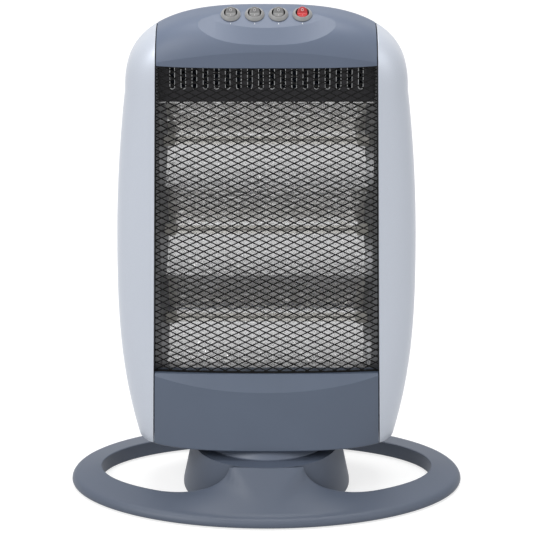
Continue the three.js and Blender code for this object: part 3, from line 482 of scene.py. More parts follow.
disc_top = body_bottom - CONTACT_GAP
plate_bottom = disc_top - turntable_plate
bevel_start = pedestal_top + 1
washer_thickness = 4
spigot_bottom = deck_underside - CONTACT_GAP - washer_thickness - 1
rim_inner, rim_bottom = turntable_radius - turntable_rim, recess_floor + 1
disc_profile = [
    (0, spigot_bottom), (spigot_radius, spigot_bottom), (spigot_radius, deck_underside),
    (hub_radius, deck_underside), (hub_radius, plate_bottom), (rim_inner, plate_bottom),
    (rim_inner, rim_bottom), (turntable_radius, rim_bottom), (turntable_radius, bevel_start),
    (turntable_radius - turntable_bevel, disc_top), (0, disc_top),
]
turntable_abs = moulded_abs("moulded_abs_turntable", "#656f81", 0.42)
dress(
    finish_edges(turned("turntable_disc", rounded_corners(disc_profile, 0.8), 160)),
    turntable_abs, HEATER_BODY, "stand_plastic", "turntable",
)


# ---------------------------------------------------------------- body shells
# The body is one smooth form, cut along its seams into ABS mouldings 2.6 mm thick: a top and
# a bottom cover, two side panels sprayed in metallic silver, and a rear cover.

body_height = 525
body_top = body_bottom + body_height
bottom_half_width = 153
waist_half_width = 176.4
waist_z = body_bottom + 215
shoulder_half_width = 164
shoulder_z = body_top - 97
front_depth, back_depth = 66, 64
front_skirt, back_skirt, skirt_rise = 80, 75, 178
bottom_rounding = 2
shell_wall = 2.6
split_depth = 22
dome_curve = 2.6  # of the dome's outline and the sections. 2 is an ellipse.
front_curve, skirt_curve = 4, 3.2
back_curve, back_dome_curve = 3, 2
seam_gap = 1.2
seam_bottom, seam_top = 134.5, 126
opening_bottom, opening_top = body_bottom + 91.5, body_top - 57.5
opening_edge_depth, opening_bulge = 52.5, 7
opening_shelf = 14
upper_crescent, lower_crescent = 17, 17  # heights in the middle
panel_tilt = math.radians(30)
panel_front_depth, panel_front_drop = 45, 14.3
panel_edge_curve = 368
scoop_slope, scoop_half_span = math.radians(50), 81
BEYOND = 700


def skirt_at(z):
    """How far a height is into the skirt, where the body gets deeper towards its underside."""
    return min(1, max(0, 1 - (z - body_bottom) / skirt_rise)) ** 1.5


def body_size(z, inset):
    """Half width, front depth and back depth of the body's skin at a height."""
    if z < waist_z:
        fall = ((waist_z - z) / (waist_z - body_bottom)) ** 2.5
        half_width = waist_half_width - (waist_half_width - bottom_half_width) * fall
    else:
        climb = min(1, (z - waist_z) / (shoulder_z - waist_z)) ** 2.1
        half_width = waist_half_width - (waist_half_width - shoulder_half_width) * climb
    front = front_depth + (front_skirt - front_depth) * skirt_at(z)
    back = back_depth + (back_skirt - back_depth) * skirt_at(z)
    dome = max(0, (z - shoulder_z) / (body_top - inset - shoulder_z)) ** dome_curve
    left = max(0, 1 - dome)
    front_part, back_part = left ** (1 / front_curve), left ** (1 / back_dome_curve)
    across = left ** (1 / dome_curve)
    return (half_width - inset) * across, (front - inset) * front_part, (back - inset) * back_part


def body_section(z, inset, shrink=0.0):
    """One level of the skin: nearly flat in front, rounder at the skirt and at the back."""
    half_width, front, back = (size - shrink for size in body_size(z, inset))
    in_front = front_curve + (skirt_curve - front_curve) * skirt_at(z)
    ring = []
    for angle in around(240):
        x, y = power(math.cos(angle), 2 / dome_curve), math.sin(angle)
        y = front * power(y, 2 / in_front) if y < 0 else back * power(y, 2 / back_curve)
        ring.append((half_width * x, y, z))
    return ring


def body_skin(inset):
    low, high = body_bottom + inset, body_top - inset
    rings = []
    for turn in spaced(6, 0, math.pi / 2)[:-1]:
        lift, shrink = bottom_rounding * (1 - math.cos(turn)), bottom_rounding * (1 - math.sin(turn))
        rings.append(body_section(low + lift, inset, shrink))
    rings += [body_section(z, inset) for z in spaced(64, low + bottom_rounding, shoulder_z)]
    for turn in spaced(28, 0.04, 0.985):
        rise = math.sin(turn * math.pi / 2) ** (2 / dome_curve)
        rings.append(body_section(shoulder_z + (high - shoulder_z) * rise, inset))
    almost_top = 0.9998  # the form closes to a point at its very top
    rings.append(body_section(shoulder_z + (high - shoulder_z) * almost_top, inset))
    return skin("body_skin", rings)


def edge_depth(x):
    """Depth of the opening's front edge: it bulges forward in the middle."""
    return -opening_edge_depth - opening_bulge * (1 - (x / seam_bottom) ** 2)


def front_at(x, z):
    """Depth of the skin's front at a place, where the covers aren't cut."""
    half_width, front, _ = body_size(z, 0)
    curve = front_curve + (skirt_curve - front_curve) * skirt_at(z)
    return -front * max(0, 1 - (abs(x) / half_width) ** dome_curve) ** (1 / curve)


def crescent(edge, direction, height, upright, inset):
    """What leaves the flat crescent above or below the opening. It is this high in the middle,
    and runs out towards its ends. The lower one leans back to the opening's edge."""
    reach, half_span, end_height = 40, 160, 2
    rings = []
    for x in spaced(81, -half_span, half_span):
        out = min(1, (x / seam_bottom) ** 2)
        rise = height * (1 - out) + end_height
        skin_depth = front_at(x, edge + direction * rise)
        near = skin_depth if upright else edge_depth(x) * (1 - out / 2) + skin_depth * out / 2
        lean = max(0, near - skin_depth) / rise
        y, base = near + inset * math.hypot(1, lean), edge - direction
        far = edge + direction * reach
        rings.append([
            (x, y + lean, base), (x, y - lean * reach, far), (x, -BEYOND, far), (x, -BEYOND, base),
        ])
    return skin("crescent", rings)


def panel_z(y):
    return body_top - panel_front_drop + (y + panel_front_depth) * math.tan(panel_tilt)


def panel_cut(inset):
    """The flat of the control panel, which faces up and forward."""
    front, back, half_span = -110, 20, 140
    drop = inset / math.cos(panel_tilt)
    ring = [(front, panel_z(front) - drop), (back, panel_z(back) - drop), (back, BEYOND), (front, BEYOND)]
    return skin("panel_cut", [[(x, y, z) for y, z in ring] for x in (-half_span, half_span)])


def scoop_cut(inset):
    """The facet below the panel: steep in the middle, and level with the panel at its ends."""
    behind, ahead = 10, 70
    rings = []
    for x in spaced(97, -scoop_half_span, scoop_half_span):
        angle = scoop_slope - (scoop_slope - panel_tilt) * (x / scoop_half_span) ** 2
        y = -panel_front_depth + x * x / panel_edge_curve
        z, slope = panel_z(y) - inset / math.cos(angle), math.tan(angle)
        rings.append([
            (x, y + behind, z + behind * slope), (x, y + behind, BEYOND),
            (x, y - ahead, BEYOND), (x, y - ahead, z - ahead * slope),
        ])
    return skin("scoop_cut", rings)


def seam_half(z):
    """Half the distance between the two seams, which lean together towards the top."""
    return seam_bottom + (seam_top - seam_bottom) * (z - body_bottom) / body_height


def seam_wedge(grow):
    """Everything between the two seams."""
    rings = []
    for y in (-BEYOND, BEYOND):
        low, high = seam_half(0) + grow, seam_half(BEYOND) + grow
        rings.append([(-low, y, 0), (low, y, 0), (high, y, BEYOND), (-high, y, BEYOND)])
    return skin("seam_wedge", rings)


def body_form(inset):
    """The whole body. Its covers are cut to shape between the seams, and the panels aren't."""
    cuts = crescent(opening_top, 1, upper_crescent, True, inset)
    lower = crescent(opening_bottom, -1, lower_crescent, False, inset)
    for cut in (lower, panel_cut(inset), scoop_cut(inset)):
        cuts = plus(cuts, cut)
    cuts = within(cuts, seam_wedge(0))
    return minus(body_skin(inset), cuts)


outer_form = body_form(0)
inner_form = body_form(shell_wall)
shell_form = minus(copy_of(outer_form), inner_form)
shelf_back = -opening_edge_depth + opening_shelf


def cover(name, edge, z0, z1):
    """A front cover between the seams, with a shelf that turns in at the opening's edge."""
    shelf = block(-BEYOND, BEYOND, -BEYOND, shelf_back, min(edge), max(edge))
    shelf = within(shelf, copy_of(outer_form))
    made = plus(copy_of(shell_form, name), shelf)
    made = within(made, seam_wedge(-seam_gap / 2))
    return within(made, block(-BEYOND, BEYOND, -BEYOND, split_depth, z0, z1))


def side_panel(name, x0, x1):
    """A side panel, turned in along the opening by a strip as thick as its wall."""
    turned_in = minus(seam_wedge(seam_gap / 2 + shell_wall), seam_wedge(seam_gap / 2))
    turned_in = within(turned_in, copy_of(outer_form))
    strip = block(-BEYOND, BEYOND, -BEYOND, shelf_back, opening_bottom - 60, opening_top + 30)
    turned_in = within(turned_in, strip)
    made = minus(copy_of(shell_form, name), seam_wedge(seam_gap / 2))
    made = plus(made, turned_in)
    return within(made, block(x0, x1, -BEYOND, split_depth, 0, BEYOND))


def silver_paint(name, colour):
    """Metallic silver lacquer over ABS: fine aluminium flakes that glint a little apart, under
    a clear coat that gives a soft second highlight."""
    material, tree, shader = new_material(name, {
        "Metallic": 0.35, "Roughness": 0.4, "Coat Weight": 0.25, "Coat Roughness": 0.3,
    })
    flake_size = 0.6 * MM  # real flakes are finer, and are drawn this coarse so that they show
    place = add_node(tree, "ShaderNodeTexCoord", {}).outputs["Object"]
    flakes = add_node(tree, "ShaderNodeTexVoronoi", {"Vector": place, "Scale": 1 / flake_size})
    glint = flakes.outputs["Distance"]
    link(tree, shader, {
        "Base Color": tinted(tree, colour, spread(tree, glint, 1.03, 0.95)),
        "Normal": bumped(tree, glint, 0.06, 0.05 * MM, rounded_by(tree, 1.2 * MM)),
    })
    return material


switch_pitch, switch_count, switch_setback = 27.3, 4, 21
barrel_radius = 10.1
switch_xs = row(switch_count, switch_pitch)
panel_frame = Matrix.Translation(Vector((
    0,
    -panel_front_depth + switch_setback * math.cos(panel_tilt),
    body_top - panel_front_drop + switch_setback * math.sin(panel_tilt),
)) * MM) @ Matrix.Rotation(panel_tilt, 4, "X")


def on_panel(piece, x):
    """Moves a piece made at the origin to a place on the control panel."""
    piece.data.transform(Matrix.Translation((x * MM, 0, 0)) @ panel_frame)
    return piece


top_cover = cover("top_moulding", (opening_top, opening_top + shell_wall), opening_top, BEYOND)
for x in switch_xs:
    hole = on_panel(rod(barrel_radius + CONTACT_GAP, (0, 0, -20), (0, 0, 20), 64), x)
    top_cover = minus(top_cover, hole)
bottom_cover = cover("bottom_moulding", (opening_bottom - shell_wall, opening_bottom), 0, opening_bottom)
cover_abs = moulded_abs("moulded_abs_blue_grey", "#5a6579", 0.5)
# The bottom cover gets a darker copy of the covers' blue-grey ABS: painted shade for the lower part of
# the body.
shaded_lower_abs = moulded_abs("moulded_abs_blue_grey_shaded", "#535e70", 0.45)
side_paint = silver_paint("silver_lacquer", "#c2c8d3")
dress(finish_edges(top_cover, 9), cover_abs, HEATER_BODY, "cover_plastic", "top_cover")
dress(finish_edges(bottom_cover, 9), shaded_lower_abs, HEATER_BODY, "lower_plastic", "bottom_cover")
for side, x0, x1 in (("left", -BEYOND, 0), ("right", 0, BEYOND)):
    panel = side_panel(f"side_moulding_{side}", x0, x1)
    dress(finish_edges(panel), side_paint, HEATER_BODY, "silver_plastic", f"side_panel_{side}")


# ---------------------------------------------------------------- rear cover
# One ABS moulding with two rows of air slots, a hand recess to carry the heater by, four deep
# screw bores and a hole for the gland. The mould leaves it a little coarser than the front.

slot_count, slot_pitch, slot_width, slot_height = 9, 18, 6, 46
lower_slots, upper_slots = body_bottom + 70, body_top - 175
handle_half_width, handle_height, handle_depth = 60, 30, 26
handle_z = body_top - 100
screw_x = 144
screw_zs = (body_bottom + 80, body_top - 175)
screw_head, screw_shank, screw_sink, boss_radius = 4, 1.7, 5, 6.5
gland_z, gland_radius = body_bottom + 32, 8
cut_from = back_depth - 11


def slot_cutter(x, z0, z1, half, y0, y1, sides=16):
    """An upright slot with round ends, run from y0 to y1."""
    outline = []
    for centre, start in ((z0 + half, math.pi), (z1 - half, 0)):
        for a in spaced(sides, start, start + math.pi):
            outline.append((x + half * math.cos(a), centre + half * math.sin(a)))
    return [[(px, y, pz) for px, pz in outline] for y in (y0, y1)]


def rear_moulding():
    made = within(
        copy_of(shell_form, "rear_moulding"),
        block(-BEYOND, BEYOND, split_depth + seam_gap, BEYOND, 0, BEYOND),
    )
    handle_y = body_size(handle_z, 0)[2] - handle_depth
    wall = shell_wall
    pocket = block(
        -handle_half_width - wall, handle_half_width + wall, handle_y - wall, BEYOND,
        handle_z - wall, handle_z + handle_height + wall,
    )
    made = plus(made, within(pocket, copy_of(outer_form)))
    grip = block(
        -handle_half_width, handle_half_width, handle_y, BEYOND, handle_z, handle_z + handle_height,
    )
    made = minus(made, grip)
    for z in (lower_slots, upper_slots):
        for x in row(slot_count, slot_pitch):
            rings = slot_cutter(x, z, z + slot_height, slot_width / 2, cut_from, BEYOND)
            made = minus(made, skin("slot", rings))
    for z in screw_zs:
        half_width, _, back = body_size(z, 0)
        reach = ((screw_x + boss_radius) / half_width) ** dome_curve
        seat = back * (1 - reach) ** (1 / back_curve) - screw_sink
        for x in (-screw_x, screw_x):
            boss = rod(boss_radius, (x, split_depth + seam_gap, z), (x, BEYOND, z))
            boss = within(boss, copy_of(outer_form))
            made = plus(made, boss)
            bore = rod(screw_head + CONTACT_GAP, (x, seat, z), (x, BEYOND, z))
            made = minus(made, bore)
            hole = rod(screw_shank + CONTACT_GAP, (x, 0, z), (x, seat + 1, z), 24)
            made = minus(made, hole)
    gland_hole = rod(gland_radius + CONTACT_GAP, (0, cut_from, gland_z), (0, BEYOND, gland_z))
    return minus(made, gland_hole)


rear_abs = moulded_abs("moulded_abs_rear", "#4a5464", 0.55, edge_radius=1.0)
dress(finish_edges(rear_moulding()), rear_abs, HEATER_BODY, "rear_plastic", "rear_cover")
for piece in (outer_form, shell_form):
    bpy.data.objects.remove(piece)
for level in ("lower", "upper"):
    for side in ("left", "right"):
        redress(f"rear_screw_{level}_{side}", zinc)
redress("cable_gland", black_abs)


# ---------------------------------------------------------------- reflector and chamber
# Bright-rolled aluminium sheet pressed into three troughs, one behind each lamp, between two
# upright side plates. Above it a dark coated steel plate lets hot air out through slots.

trough_low, trough_high = opening_bottom - 6, opening_top - 49.5
lamp_count = 3
lamp_pitch = (trough_high - trough_low) / lamp_count
lamp_zs = [trough_low + lamp_pitch * (i + 0.5) for i in range(lamp_count)]
trough_back, trough_ridge, trough_lip = 18, -6, -31
reflector_thickness = 0.8
plate_front, side_front_x = -38, seam_top - 1.5
side_lean = 8.2


def side_x(y):
    """The side plates' faces close in towards the back."""
    return side_front_x - side_lean * (y - plate_front) / (trough_back - plate_front)


def trough_sheet():
    """The pressed sheet: its front face, then the same line again behind it."""
    half = lamp_pitch / 2
    face = [(trough_lip, trough_low)]
    for centre in lamp_zs:
        for z in spaced(41, -half, half):
            face.append((trough_back - (trough_back - trough_ridge) * (z / half) ** 2, centre + z))
    face.append((trough_lip, trough_high))
    back = [(y + reflector_thickness, z) for y, z in face[1:-1]]
    back.insert(0, (trough_lip, trough_low - reflector_thickness))
    back.append((trough_lip, trough_high + reflector_thickness))
    points, faces = [], []
    across = spaced(25, -1, 1)
    for part in across:
        points += [(part * (side_x(y) - CONTACT_GAP), y, z) for y, z in face]
        points += [(part * (side_x(y) - CONTACT_GAP), y, z) for y, z in back]
    count = len(face)
    for column in range(len(across) - 1):
        here, there = column * 2 * count, (column + 1) * 2 * count
        for i in range(count - 1):
            faces.append((here + i, here + i + 1, there + i + 1, there + i))
            j = count + i
            faces.append((here + j, there + j, there + j + 1, here + j + 1))
        faces.append((here, there, there + count, here + count))
        last = count - 1
        faces.append((here + last, here + count + last, there + count + last, there + last))
    for end in (0, (len(across) - 1) * 2 * count):
        faces += [(end + i, end + count + i, end + count + i + 1, end + i + 1) for i in range(count - 1)]
    return new_piece("reflector_sheet", points, faces)


def bright_aluminium(name, colour, roughness, ripple):
    """Bright-rolled aluminium: a mirror with faint rolling lines along its length, and waves
    and small dimples left by the press."""
    material, tree, shader = new_material(name, {"Metallic": 1.0, "Base Color": linear(colour)})
    lines = streaks(tree, 60 * MM, 0.8 * MM)
    fine = bumped(tree, lines, 0.25, 0.05 * MM)
    wavy = bumped(tree, noise(tree, 45 * MM, 1), 0.5, 1.5 * MM, fine)
    link(tree, shader, {
        "Roughness": spread(tree, lines, roughness - 0.05, roughness + 0.08),
        "Normal": bumped(tree, noise(tree, 6 * MM, 1), ripple, 1.0 * MM, wavy),
    })
    return material


mirror = bright_aluminium("bright_rolled_aluminium", "#ececed", 0.2, 0.9)
# The side plates and their front returns get the aluminium in a dark grey: painted shade that dims their
# reflections.
shaded_side_aluminium = bright_aluminium("rolled_aluminium_sides_painted_shade", "#7f8082", 0.5, 0.1)
dress(finish_edges(trough_sheet(), 25), mirror, HEATER_BODY, "bright_aluminium", "reflector")
return_foot, return_head, return_overlap = trough_low, opening_top, 0.2
foot_x, head_x = (seam_half(z) + return_overlap for z in (return_foot, return_head))
for side, sign in (("left", -1), ("right", 1)):
    redress(f"reflector_side_{side}", shaded_side_aluminium)
    edge_x = sign * side_x(plate_front)
    corners = [
        [
            (edge_x, y, return_foot), (sign * foot_x, y, return_foot),
            (sign * head_x, y, return_head), (edge_x, y, return_head),
        ]
        for y in (plate_front, plate_front + reflector_thickness)
    ]
    dress(skin(f"side_return_{side}", corners), shaded_side_aluminium, HEATER_BODY, "bright_aluminium")

vent_depth, vent_thickness, vent_foot = -33, 1.2, 12
vent_count, vent_pitch, vent_half, vent_drop = 18, 12.75, 2.7, 30
vent_top, vent_slot_margin = opening_top + 16, 6
vent_xs = row(vent_count, vent_pitch)


def vent_sheet():
    low = trough_high + reflector_thickness + CONTACT_GAP
    half = side_x(vent_depth) - CONTACT_GAP
    made = block(-half, half, vent_depth, vent_depth + vent_thickness, low, vent_top)
    foot_half = side_x(vent_depth + vent_foot) - CONTACT_GAP
    foot = block(-foot_half, foot_half, vent_depth, vent_depth + vent_foot, low, low + vent_thickness)
    made = plus(made, foot)
    for x in vent_xs:
        foot, head = opening_top - vent_drop - vent_half, vent_top - vent_slot_margin
        rings = slot_cutter(x, foot, head, vent_half, -60, 0)
        made = minus(made, skin("slot", rings))
    made.name = "vent_sheet"
    return made


def tubes(name, paths, radius, sides):
    """Round wires along several paths, as one piece."""
    points, faces = [], []
    for path in paths:
        path = [Vector(point) for point in path]
        first = len(points)
        for i, at in enumerate(path):
            along = (path[min(i + 1, len(path) - 1)] - path[max(i - 1, 0)]).normalized()
            across = along.cross(Vector((0.03, 1, 0.05))).normalized()
            up = across.cross(along)
            points += [at + radius * (math.cos(a) * across + math.sin(a) * up) for a in around(sides)]
        for i in range(len(path) - 1):
            here = first + i * sides
            for j in range(sides):
                k = (j + 1) % sides
                faces.append((here + j, here + k, here + sides + k, here + sides + j))
        faces.append(tuple(range(first, first + sides)))
        faces.append(tuple(range(len(points) - sides, len(points))))
    return new_piece(name, points, faces)


def coated_steel(name, colour, roughness):
    """Sheet steel with a dark heat-proof coating: nearly black, with a dull sheen."""
    material, tree, shader = new_material(name, {"Metallic": 0.4})
    speck = noise(tree, 1.5 * MM, 3)
    link(tree, shader, {
        "Roughness": spread(tree, speck, roughness - 0.1, roughness + 0.1),
        "Base Color": blend(tree, speck, colour, "#2a2a2c"),
    })
    return material


dark_steel = coated_steel("heatproof_coated_steel", "#353438", 0.5)
bare_edge = zinc_plated_steel("bare_steel_edge", "#eceded")
dress(finish_edges(vent_sheet()), dark_steel, HEATER_BODY, "dark_steel", "vent_plate")
edge_wire = 0.55
rims = []
for x in vent_xs:
    low = opening_top - vent_drop
    turn = spaced(13, math.pi, 2 * math.pi)
    bottom = [(x + vent_half * math.cos(a), low + vent_half * math.sin(a)) for a in turn]
    outline = [(x - vent_half, opening_top - 1), *bottom, (x + vent_half, opening_top - 1)]
    rims.append([(px, vent_depth - edge_wire * 0.4, pz) for px, pz in outline])
dress(finish_edges(tubes("vent_slot_edges", rims, edge_wire, 6)), bare_edge, HEATER_BODY, "zinc_steel")
redress("thermal_cutout", zinc)


# ---------------------------------------------------------------- lamps
# Each lamp is a clear quartz tube with a coiled tungsten filament, held off the glass by small
# discs. Its ends sit in unglazed steatite caps that pass through the side plates.

tube_radius, tube_wall = 5.5, 1
tube_half_length = side_front_x - 10.5
cap_radius, cap_length, cap_overlap = 7, 22, 7
coil_radius, coil_wire, coil_pitch = 1.5, 0.32, 1.5
support_count, support_thickness = 4, 1.2


def lie_along_x(piece, z, toward=1):
    """Turns a piece made about Z to lie along X at a lamp's height."""
    turn = Matrix.Rotation(math.radians(90 * toward), 4, "Y")
    piece.data.transform(Matrix.Translation((0, 0, z * MM)) @ turn)
    return piece


def fused_quartz(name):
    """Drawn quartz tube: clear and smooth, with bright lines where its edges turn the light."""
    material, tree, shader = new_material(name, {
        "Base Color": linear("#f4f3f0"), "Roughness": 0.02, "IOR": 1.458, "Transmission Weight": 1.0,
    })
    link(tree, shader, {"Normal": bumped(tree, streaks(tree, 80 * MM, 3 * MM), 0.1, 0.1 * MM)})
    return material


def drawn_tungsten(name):
    """Drawn tungsten wire: dull grey metal, darker in patches where it has been hot."""
    material, tree, shader = new_material(name, {"Metallic": 1.0, "Roughness": 0.42})
    link(tree, shader, {"Base Color": blend(tree, noise(tree, 9 * MM), "#8d8a86", "#6c6966")})
    return material


def steatite(name):
    """Unglazed steatite ceramic: pale grey-white and matt, with a faint powdery speckle."""
    material, tree, shader = new_material(name, {"Roughness": 0.7, "IOR": 1.57})
    speck = noise(tree, 0.7 * MM, 3)
    link(tree, shader, {
        "Base Color": blend(tree, speck, "#c9c7c1", "#b3b0a9"),
        "Normal": bumped(tree, speck, 0.15, 0.1 * MM),
    })
    return material


quartz = fused_quartz("fused_quartz")
tungsten = drawn_tungsten("drawn_tungsten")
ceramic = steatite("unglazed_steatite")
tube_profile = [
    (tube_radius - tube_wall, -tube_half_length), (tube_radius, -tube_half_length),
    (tube_radius, tube_half_length), (tube_radius - tube_wall, tube_half_length),
]
socket_radius, socket_depth = tube_radius + CONTACT_GAP, cap_overlap + CONTACT_GAP
cap_profile = [
    (0, cap_length), (cap_radius - 1.5, cap_length), (cap_radius, cap_length - 1.5),
    (cap_radius, 0.6), (cap_radius - 0.6, 0),
    (socket_radius, 0), (socket_radius, socket_depth), (0, socket_depth),
]
for i, z in enumerate(lamp_zs):
    lamp = f"lamp_{i + 1}"
    tube = lie_along_x(turned(f"{lamp}_quartz_tube", tube_profile, 48), z)
    dress(finish_edges(tube), quartz, HEATER_BODY, "quartz", f"{lamp}_tube")

    coil_end = tube_half_length - 2
    turns = 2 * (coil_end - 4) / coil_pitch
    steps = int(turns * 9)
    coil = [(-coil_end, 0, z), (-coil_end + 3, 0, z)]
    for step in range(steps + 1):
        angle = 2 * math.pi * turns * step / steps
        x = -coil_end + 4 + 2 * (coil_end - 4) * step / steps
        coil.append((x, coil_radius * math.cos(angle), z + coil_radius * math.sin(angle)))
    coil += [(coil_end - 3, 0, z), (coil_end, 0, z)]
    filament = finish_edges(tubes(f"{lamp}_coil", [coil], coil_wire, 5), 80)
    dress(filament, tungsten, HEATER_BODY, "tungsten", f"{lamp}_filament")

    disc_radius = tube_radius - tube_wall - CONTACT_GAP
    discs = []
    for x in spaced(support_count, -coil_end + 6, coil_end - 6):
        for turn in (0, 1):
            discs.append([
                (x + turn * support_thickness, disc_radius * math.cos(a), z + disc_radius * math.sin(a))
                for a in spaced(25, 0, 2 * math.pi)
            ])
    supports = finish_edges(tubes(f"{lamp}_supports", discs, coil_wire * 0.7, 5), 80)
    dress(supports, tungsten, HEATER_BODY, "tungsten")

    for side, toward in (("left", -1), ("right", 1)):
        cap = turned(f"{lamp}_steatite_{side}", cap_profile, 48)
        cap.data.transform(Matrix.Translation((0, 0, (tube_half_length - cap_overlap) * MM)))
        lie_along_x(cap, z, toward)
        dress(finish_edges(cap), ceramic, HEATER_BODY, "ceramic", f"{lamp}_cap_{side}")
redress("terminal_block", ceramic)


# ---------------------------------------------------------------- grille
# Steel wire welded in a diamond mesh inside a flat-bar frame, then dipped in black enamel. It
# follows the bulge of the covers, and keeps hands off the lamps.

cell_width, cell_height = 16.2, 8.05
wire_radius = 0.78
grille_setback, frame_width, frame_depth = 2, 1.4, 3
side_lean_in = (seam_top - seam_bottom) / body_height


def grille_half(z):
    """Half width of the grille at a height, between the side panels."""
    return seam_half(z) + seam_gap / 2 - CONTACT_GAP


grille_low, grille_high = opening_bottom + CONTACT_GAP, opening_top - CONTACT_GAP
grille_widest = grille_half(grille_low)


def grille_depth(x):
    return grille_setback + edge_depth(min(grille_widest, abs(x)))


def mesh_wires():
    """Straight runs in two directions that cross in diamonds, one layer on the other."""
    slope, layer = cell_height / cell_width, wire_radius * 0.75
    middle = (grille_low + grille_high) / 2
    end_inset = frame_width * 0.6
    low, high = grille_low + end_inset, grille_high - end_inset
    count = int(((grille_high - grille_low) / 2 + grille_widest * slope) / cell_height)
    wires = []
    for direction in (-1, 1):
        for k in range(-count, count + 1):
            start = middle + k * cell_height
            crossings = [(z - start) * direction / slope for z in (low, high)]
            reach, rise = grille_half(start) - end_inset, side_lean_in * direction * slope
            left = max(-reach / (1 + rise), min(crossings))
            right = min(reach / (1 - rise), max(crossings))
            if right - left < cell_width / 2:
                continue
            wires.append([
                (x, grille_depth(x) + frame_depth / 2 + direction * layer, start + direction * slope * x)
                for x in spaced(max(3, int((right - left) / 12)), left, right)
            ])
    return wires


def enamelled_wire(name, colour):
    """Steel wire dipped in black enamel: black, with a dull sheen that varies along each run."""
    material, tree, shader = new_material(name, {"IOR": 1.45, "Specular IOR Level": 0.25})
    run = noise(tree, 4 * MM)
    link(tree, shader, {
        "Roughness": spread(tree, run, 0.5, 0.75),
        "Base Color": blend(tree, run, colour, "#0e0e0f"),
    })
    return material


def grille_frame():
    """The flat bar round the mesh: top and bottom follow the bulge, the sides are straight."""
    rings = []
    for x in spaced(41, -1, 1):
        depth = grille_depth(x * grille_widest)
        rings.append([(x, depth), (x, depth + frame_depth)])
    bars = []
    for low, high in ((grille_low, grille_low + frame_width), (grille_high - frame_width, grille_high)):
        bars.append([
            [
                (x * grille_half(low), near, low), (x * grille_half(high), near, high),
                (x * grille_half(high), far, high), (x * grille_half(low), far, low),
            ]
            for (x, near), (_, far) in rings
        ])
    for side in (-1, 1):
        depth = grille_depth(grille_widest)
        bars.append([
            [
                (side * grille_half(z), depth, z), (side * (grille_half(z) - frame_width), depth, z),
                (side * (grille_half(z) - frame_width), depth + frame_depth, z),
                (side * grille_half(z), depth + frame_depth, z),
            ]
            for z in (grille_low + 0.1, grille_high - 0.1)
        ])
    made = skin("grille_frame", bars[0])
    for bar in bars[1:]:
        made = plus(made, skin("bar", bar))
    return made


black_enamel = enamelled_wire("black_enamelled_steel", "#060606")
grille_mesh = finish_edges(tubes("grille_mesh", mesh_wires(), wire_radius, 8), 50)
dress(grille_mesh, black_enamel, HEATER_BODY, "black_wire", "grille")
dress(finish_edges(grille_frame()), black_enamel, HEATER_BODY, "black_wire")


# ---------------------------------------------------------------- rocker switches
# Four round rocker switches snap into the control panel from above. Each has a grey moulded
# bezel and a polycarbonate rocker, printed with a ring and a bar. The last one is red.

bezel_radius, bezel_top_radius, bezel_height, bezel_edge = 11.3, 8.5, 4.2, 1
barrel_depth, bore_radius, bore_depth = 16, 8.5, 6
bezel_lip_radius = 7.8
button_radius, button_depth, button_rounding, button_narrow = 7.2, 6.5, 1.6, 0.88
pivot_height = 2.4
face_angle, travel = math.radians(33), math.radians(22)
bezel_profile = [
    (0, -barrel_depth), (barrel_radius, -barrel_depth), (barrel_radius, CONTACT_GAP),
    (bezel_radius, CONTACT_GAP), (bezel_radius, bezel_edge), (bezel_top_radius, bezel_height),
    (bezel_lip_radius, bezel_height), (bezel_lip_radius, bezel_height - 1), (bore_radius, pivot_height),
    (bore_radius, -bore_depth), (0, -bore_depth),
]


def face_height(x, y):
    """The rocker's top: two leaning halves with a soft valley between, and a round edge."""
    valley = 0.8
    lean = math.tan(face_angle) * (math.hypot(y, valley) - valley)
    past = max(0, math.hypot(x, y) - (button_radius - button_rounding))
    return lean - button_rounding + math.sqrt(max(0, button_rounding**2 - past**2))


def rocker_button(name):
    rings = []
    sides = ((button_radius - 1.3, button_depth), (button_radius - 1, 6.2), (button_radius, 2.2))
    for radius, depth in sides:
        rings.append([
            (button_narrow * radius * math.cos(a), radius * math.sin(a), -depth) for a in around(96)
        ])
    flat = button_radius - button_rounding
    edge = [flat + button_rounding * math.cos(a) for a in spaced(9, 0, math.pi / 2)]
    for radius in (*edge, *spaced(16, flat * 0.93, 0.1)):
        ring = []
        for a in around(96):
            x, y = radius * math.cos(a), radius * math.sin(a)
            ring.append((button_narrow * x, y, face_height(x, y)))
        rings.append(ring)
    return skin(name, rings)


def on_rocker(piece, x):
    """Tips a rocker's piece back on its pivot and puts it on the panel."""
    tip = Matrix.Translation((0, 0, pivot_height * MM)) @ Matrix.Rotation(travel / 2, 4, "X")
    piece.data.transform(tip)
    return on_panel(piece, x)


def rocker_marks(name):
    """A ring on the raised half, and a bar on the pressed one, printed just proud of it."""
    def on_face(x, y):
        return (x, y, face_height(x, y) + 0.02)

    ring = [on_face(1.2 * math.cos(a), 3.6 + 1.2 * math.sin(a)) for a in spaced(33, 0, 2 * math.pi)]
    bar = [on_face(0, y) for y in spaced(5, -4.6, -2.6)]
    return tubes(name, [ring, bar], 0.22, 8)


def printed_number(name, number):
    """A switch's number, printed on the panel in front of it."""
    text = bpy.data.curves.new(name, "FONT")
    text.body = str(number)
    text.align_x, text.align_y = "CENTER", "CENTER"
    text.size, text.extrude = label_height * MM, 0.03 * MM
    placed = bpy.data.objects.new(name, text)
    bpy.context.scene.collection.objects.link(placed)
    graph = bpy.context.evaluated_depsgraph_get()
    printed = bpy.data.objects.new(name, bpy.data.meshes.new_from_object(placed.evaluated_get(graph)))
    bpy.context.scene.collection.objects.link(printed)
    bpy.data.objects.remove(placed)
    printed.data.transform(Matrix.Translation((0, -label_drop * MM, 0.05 * MM)))
    return printed


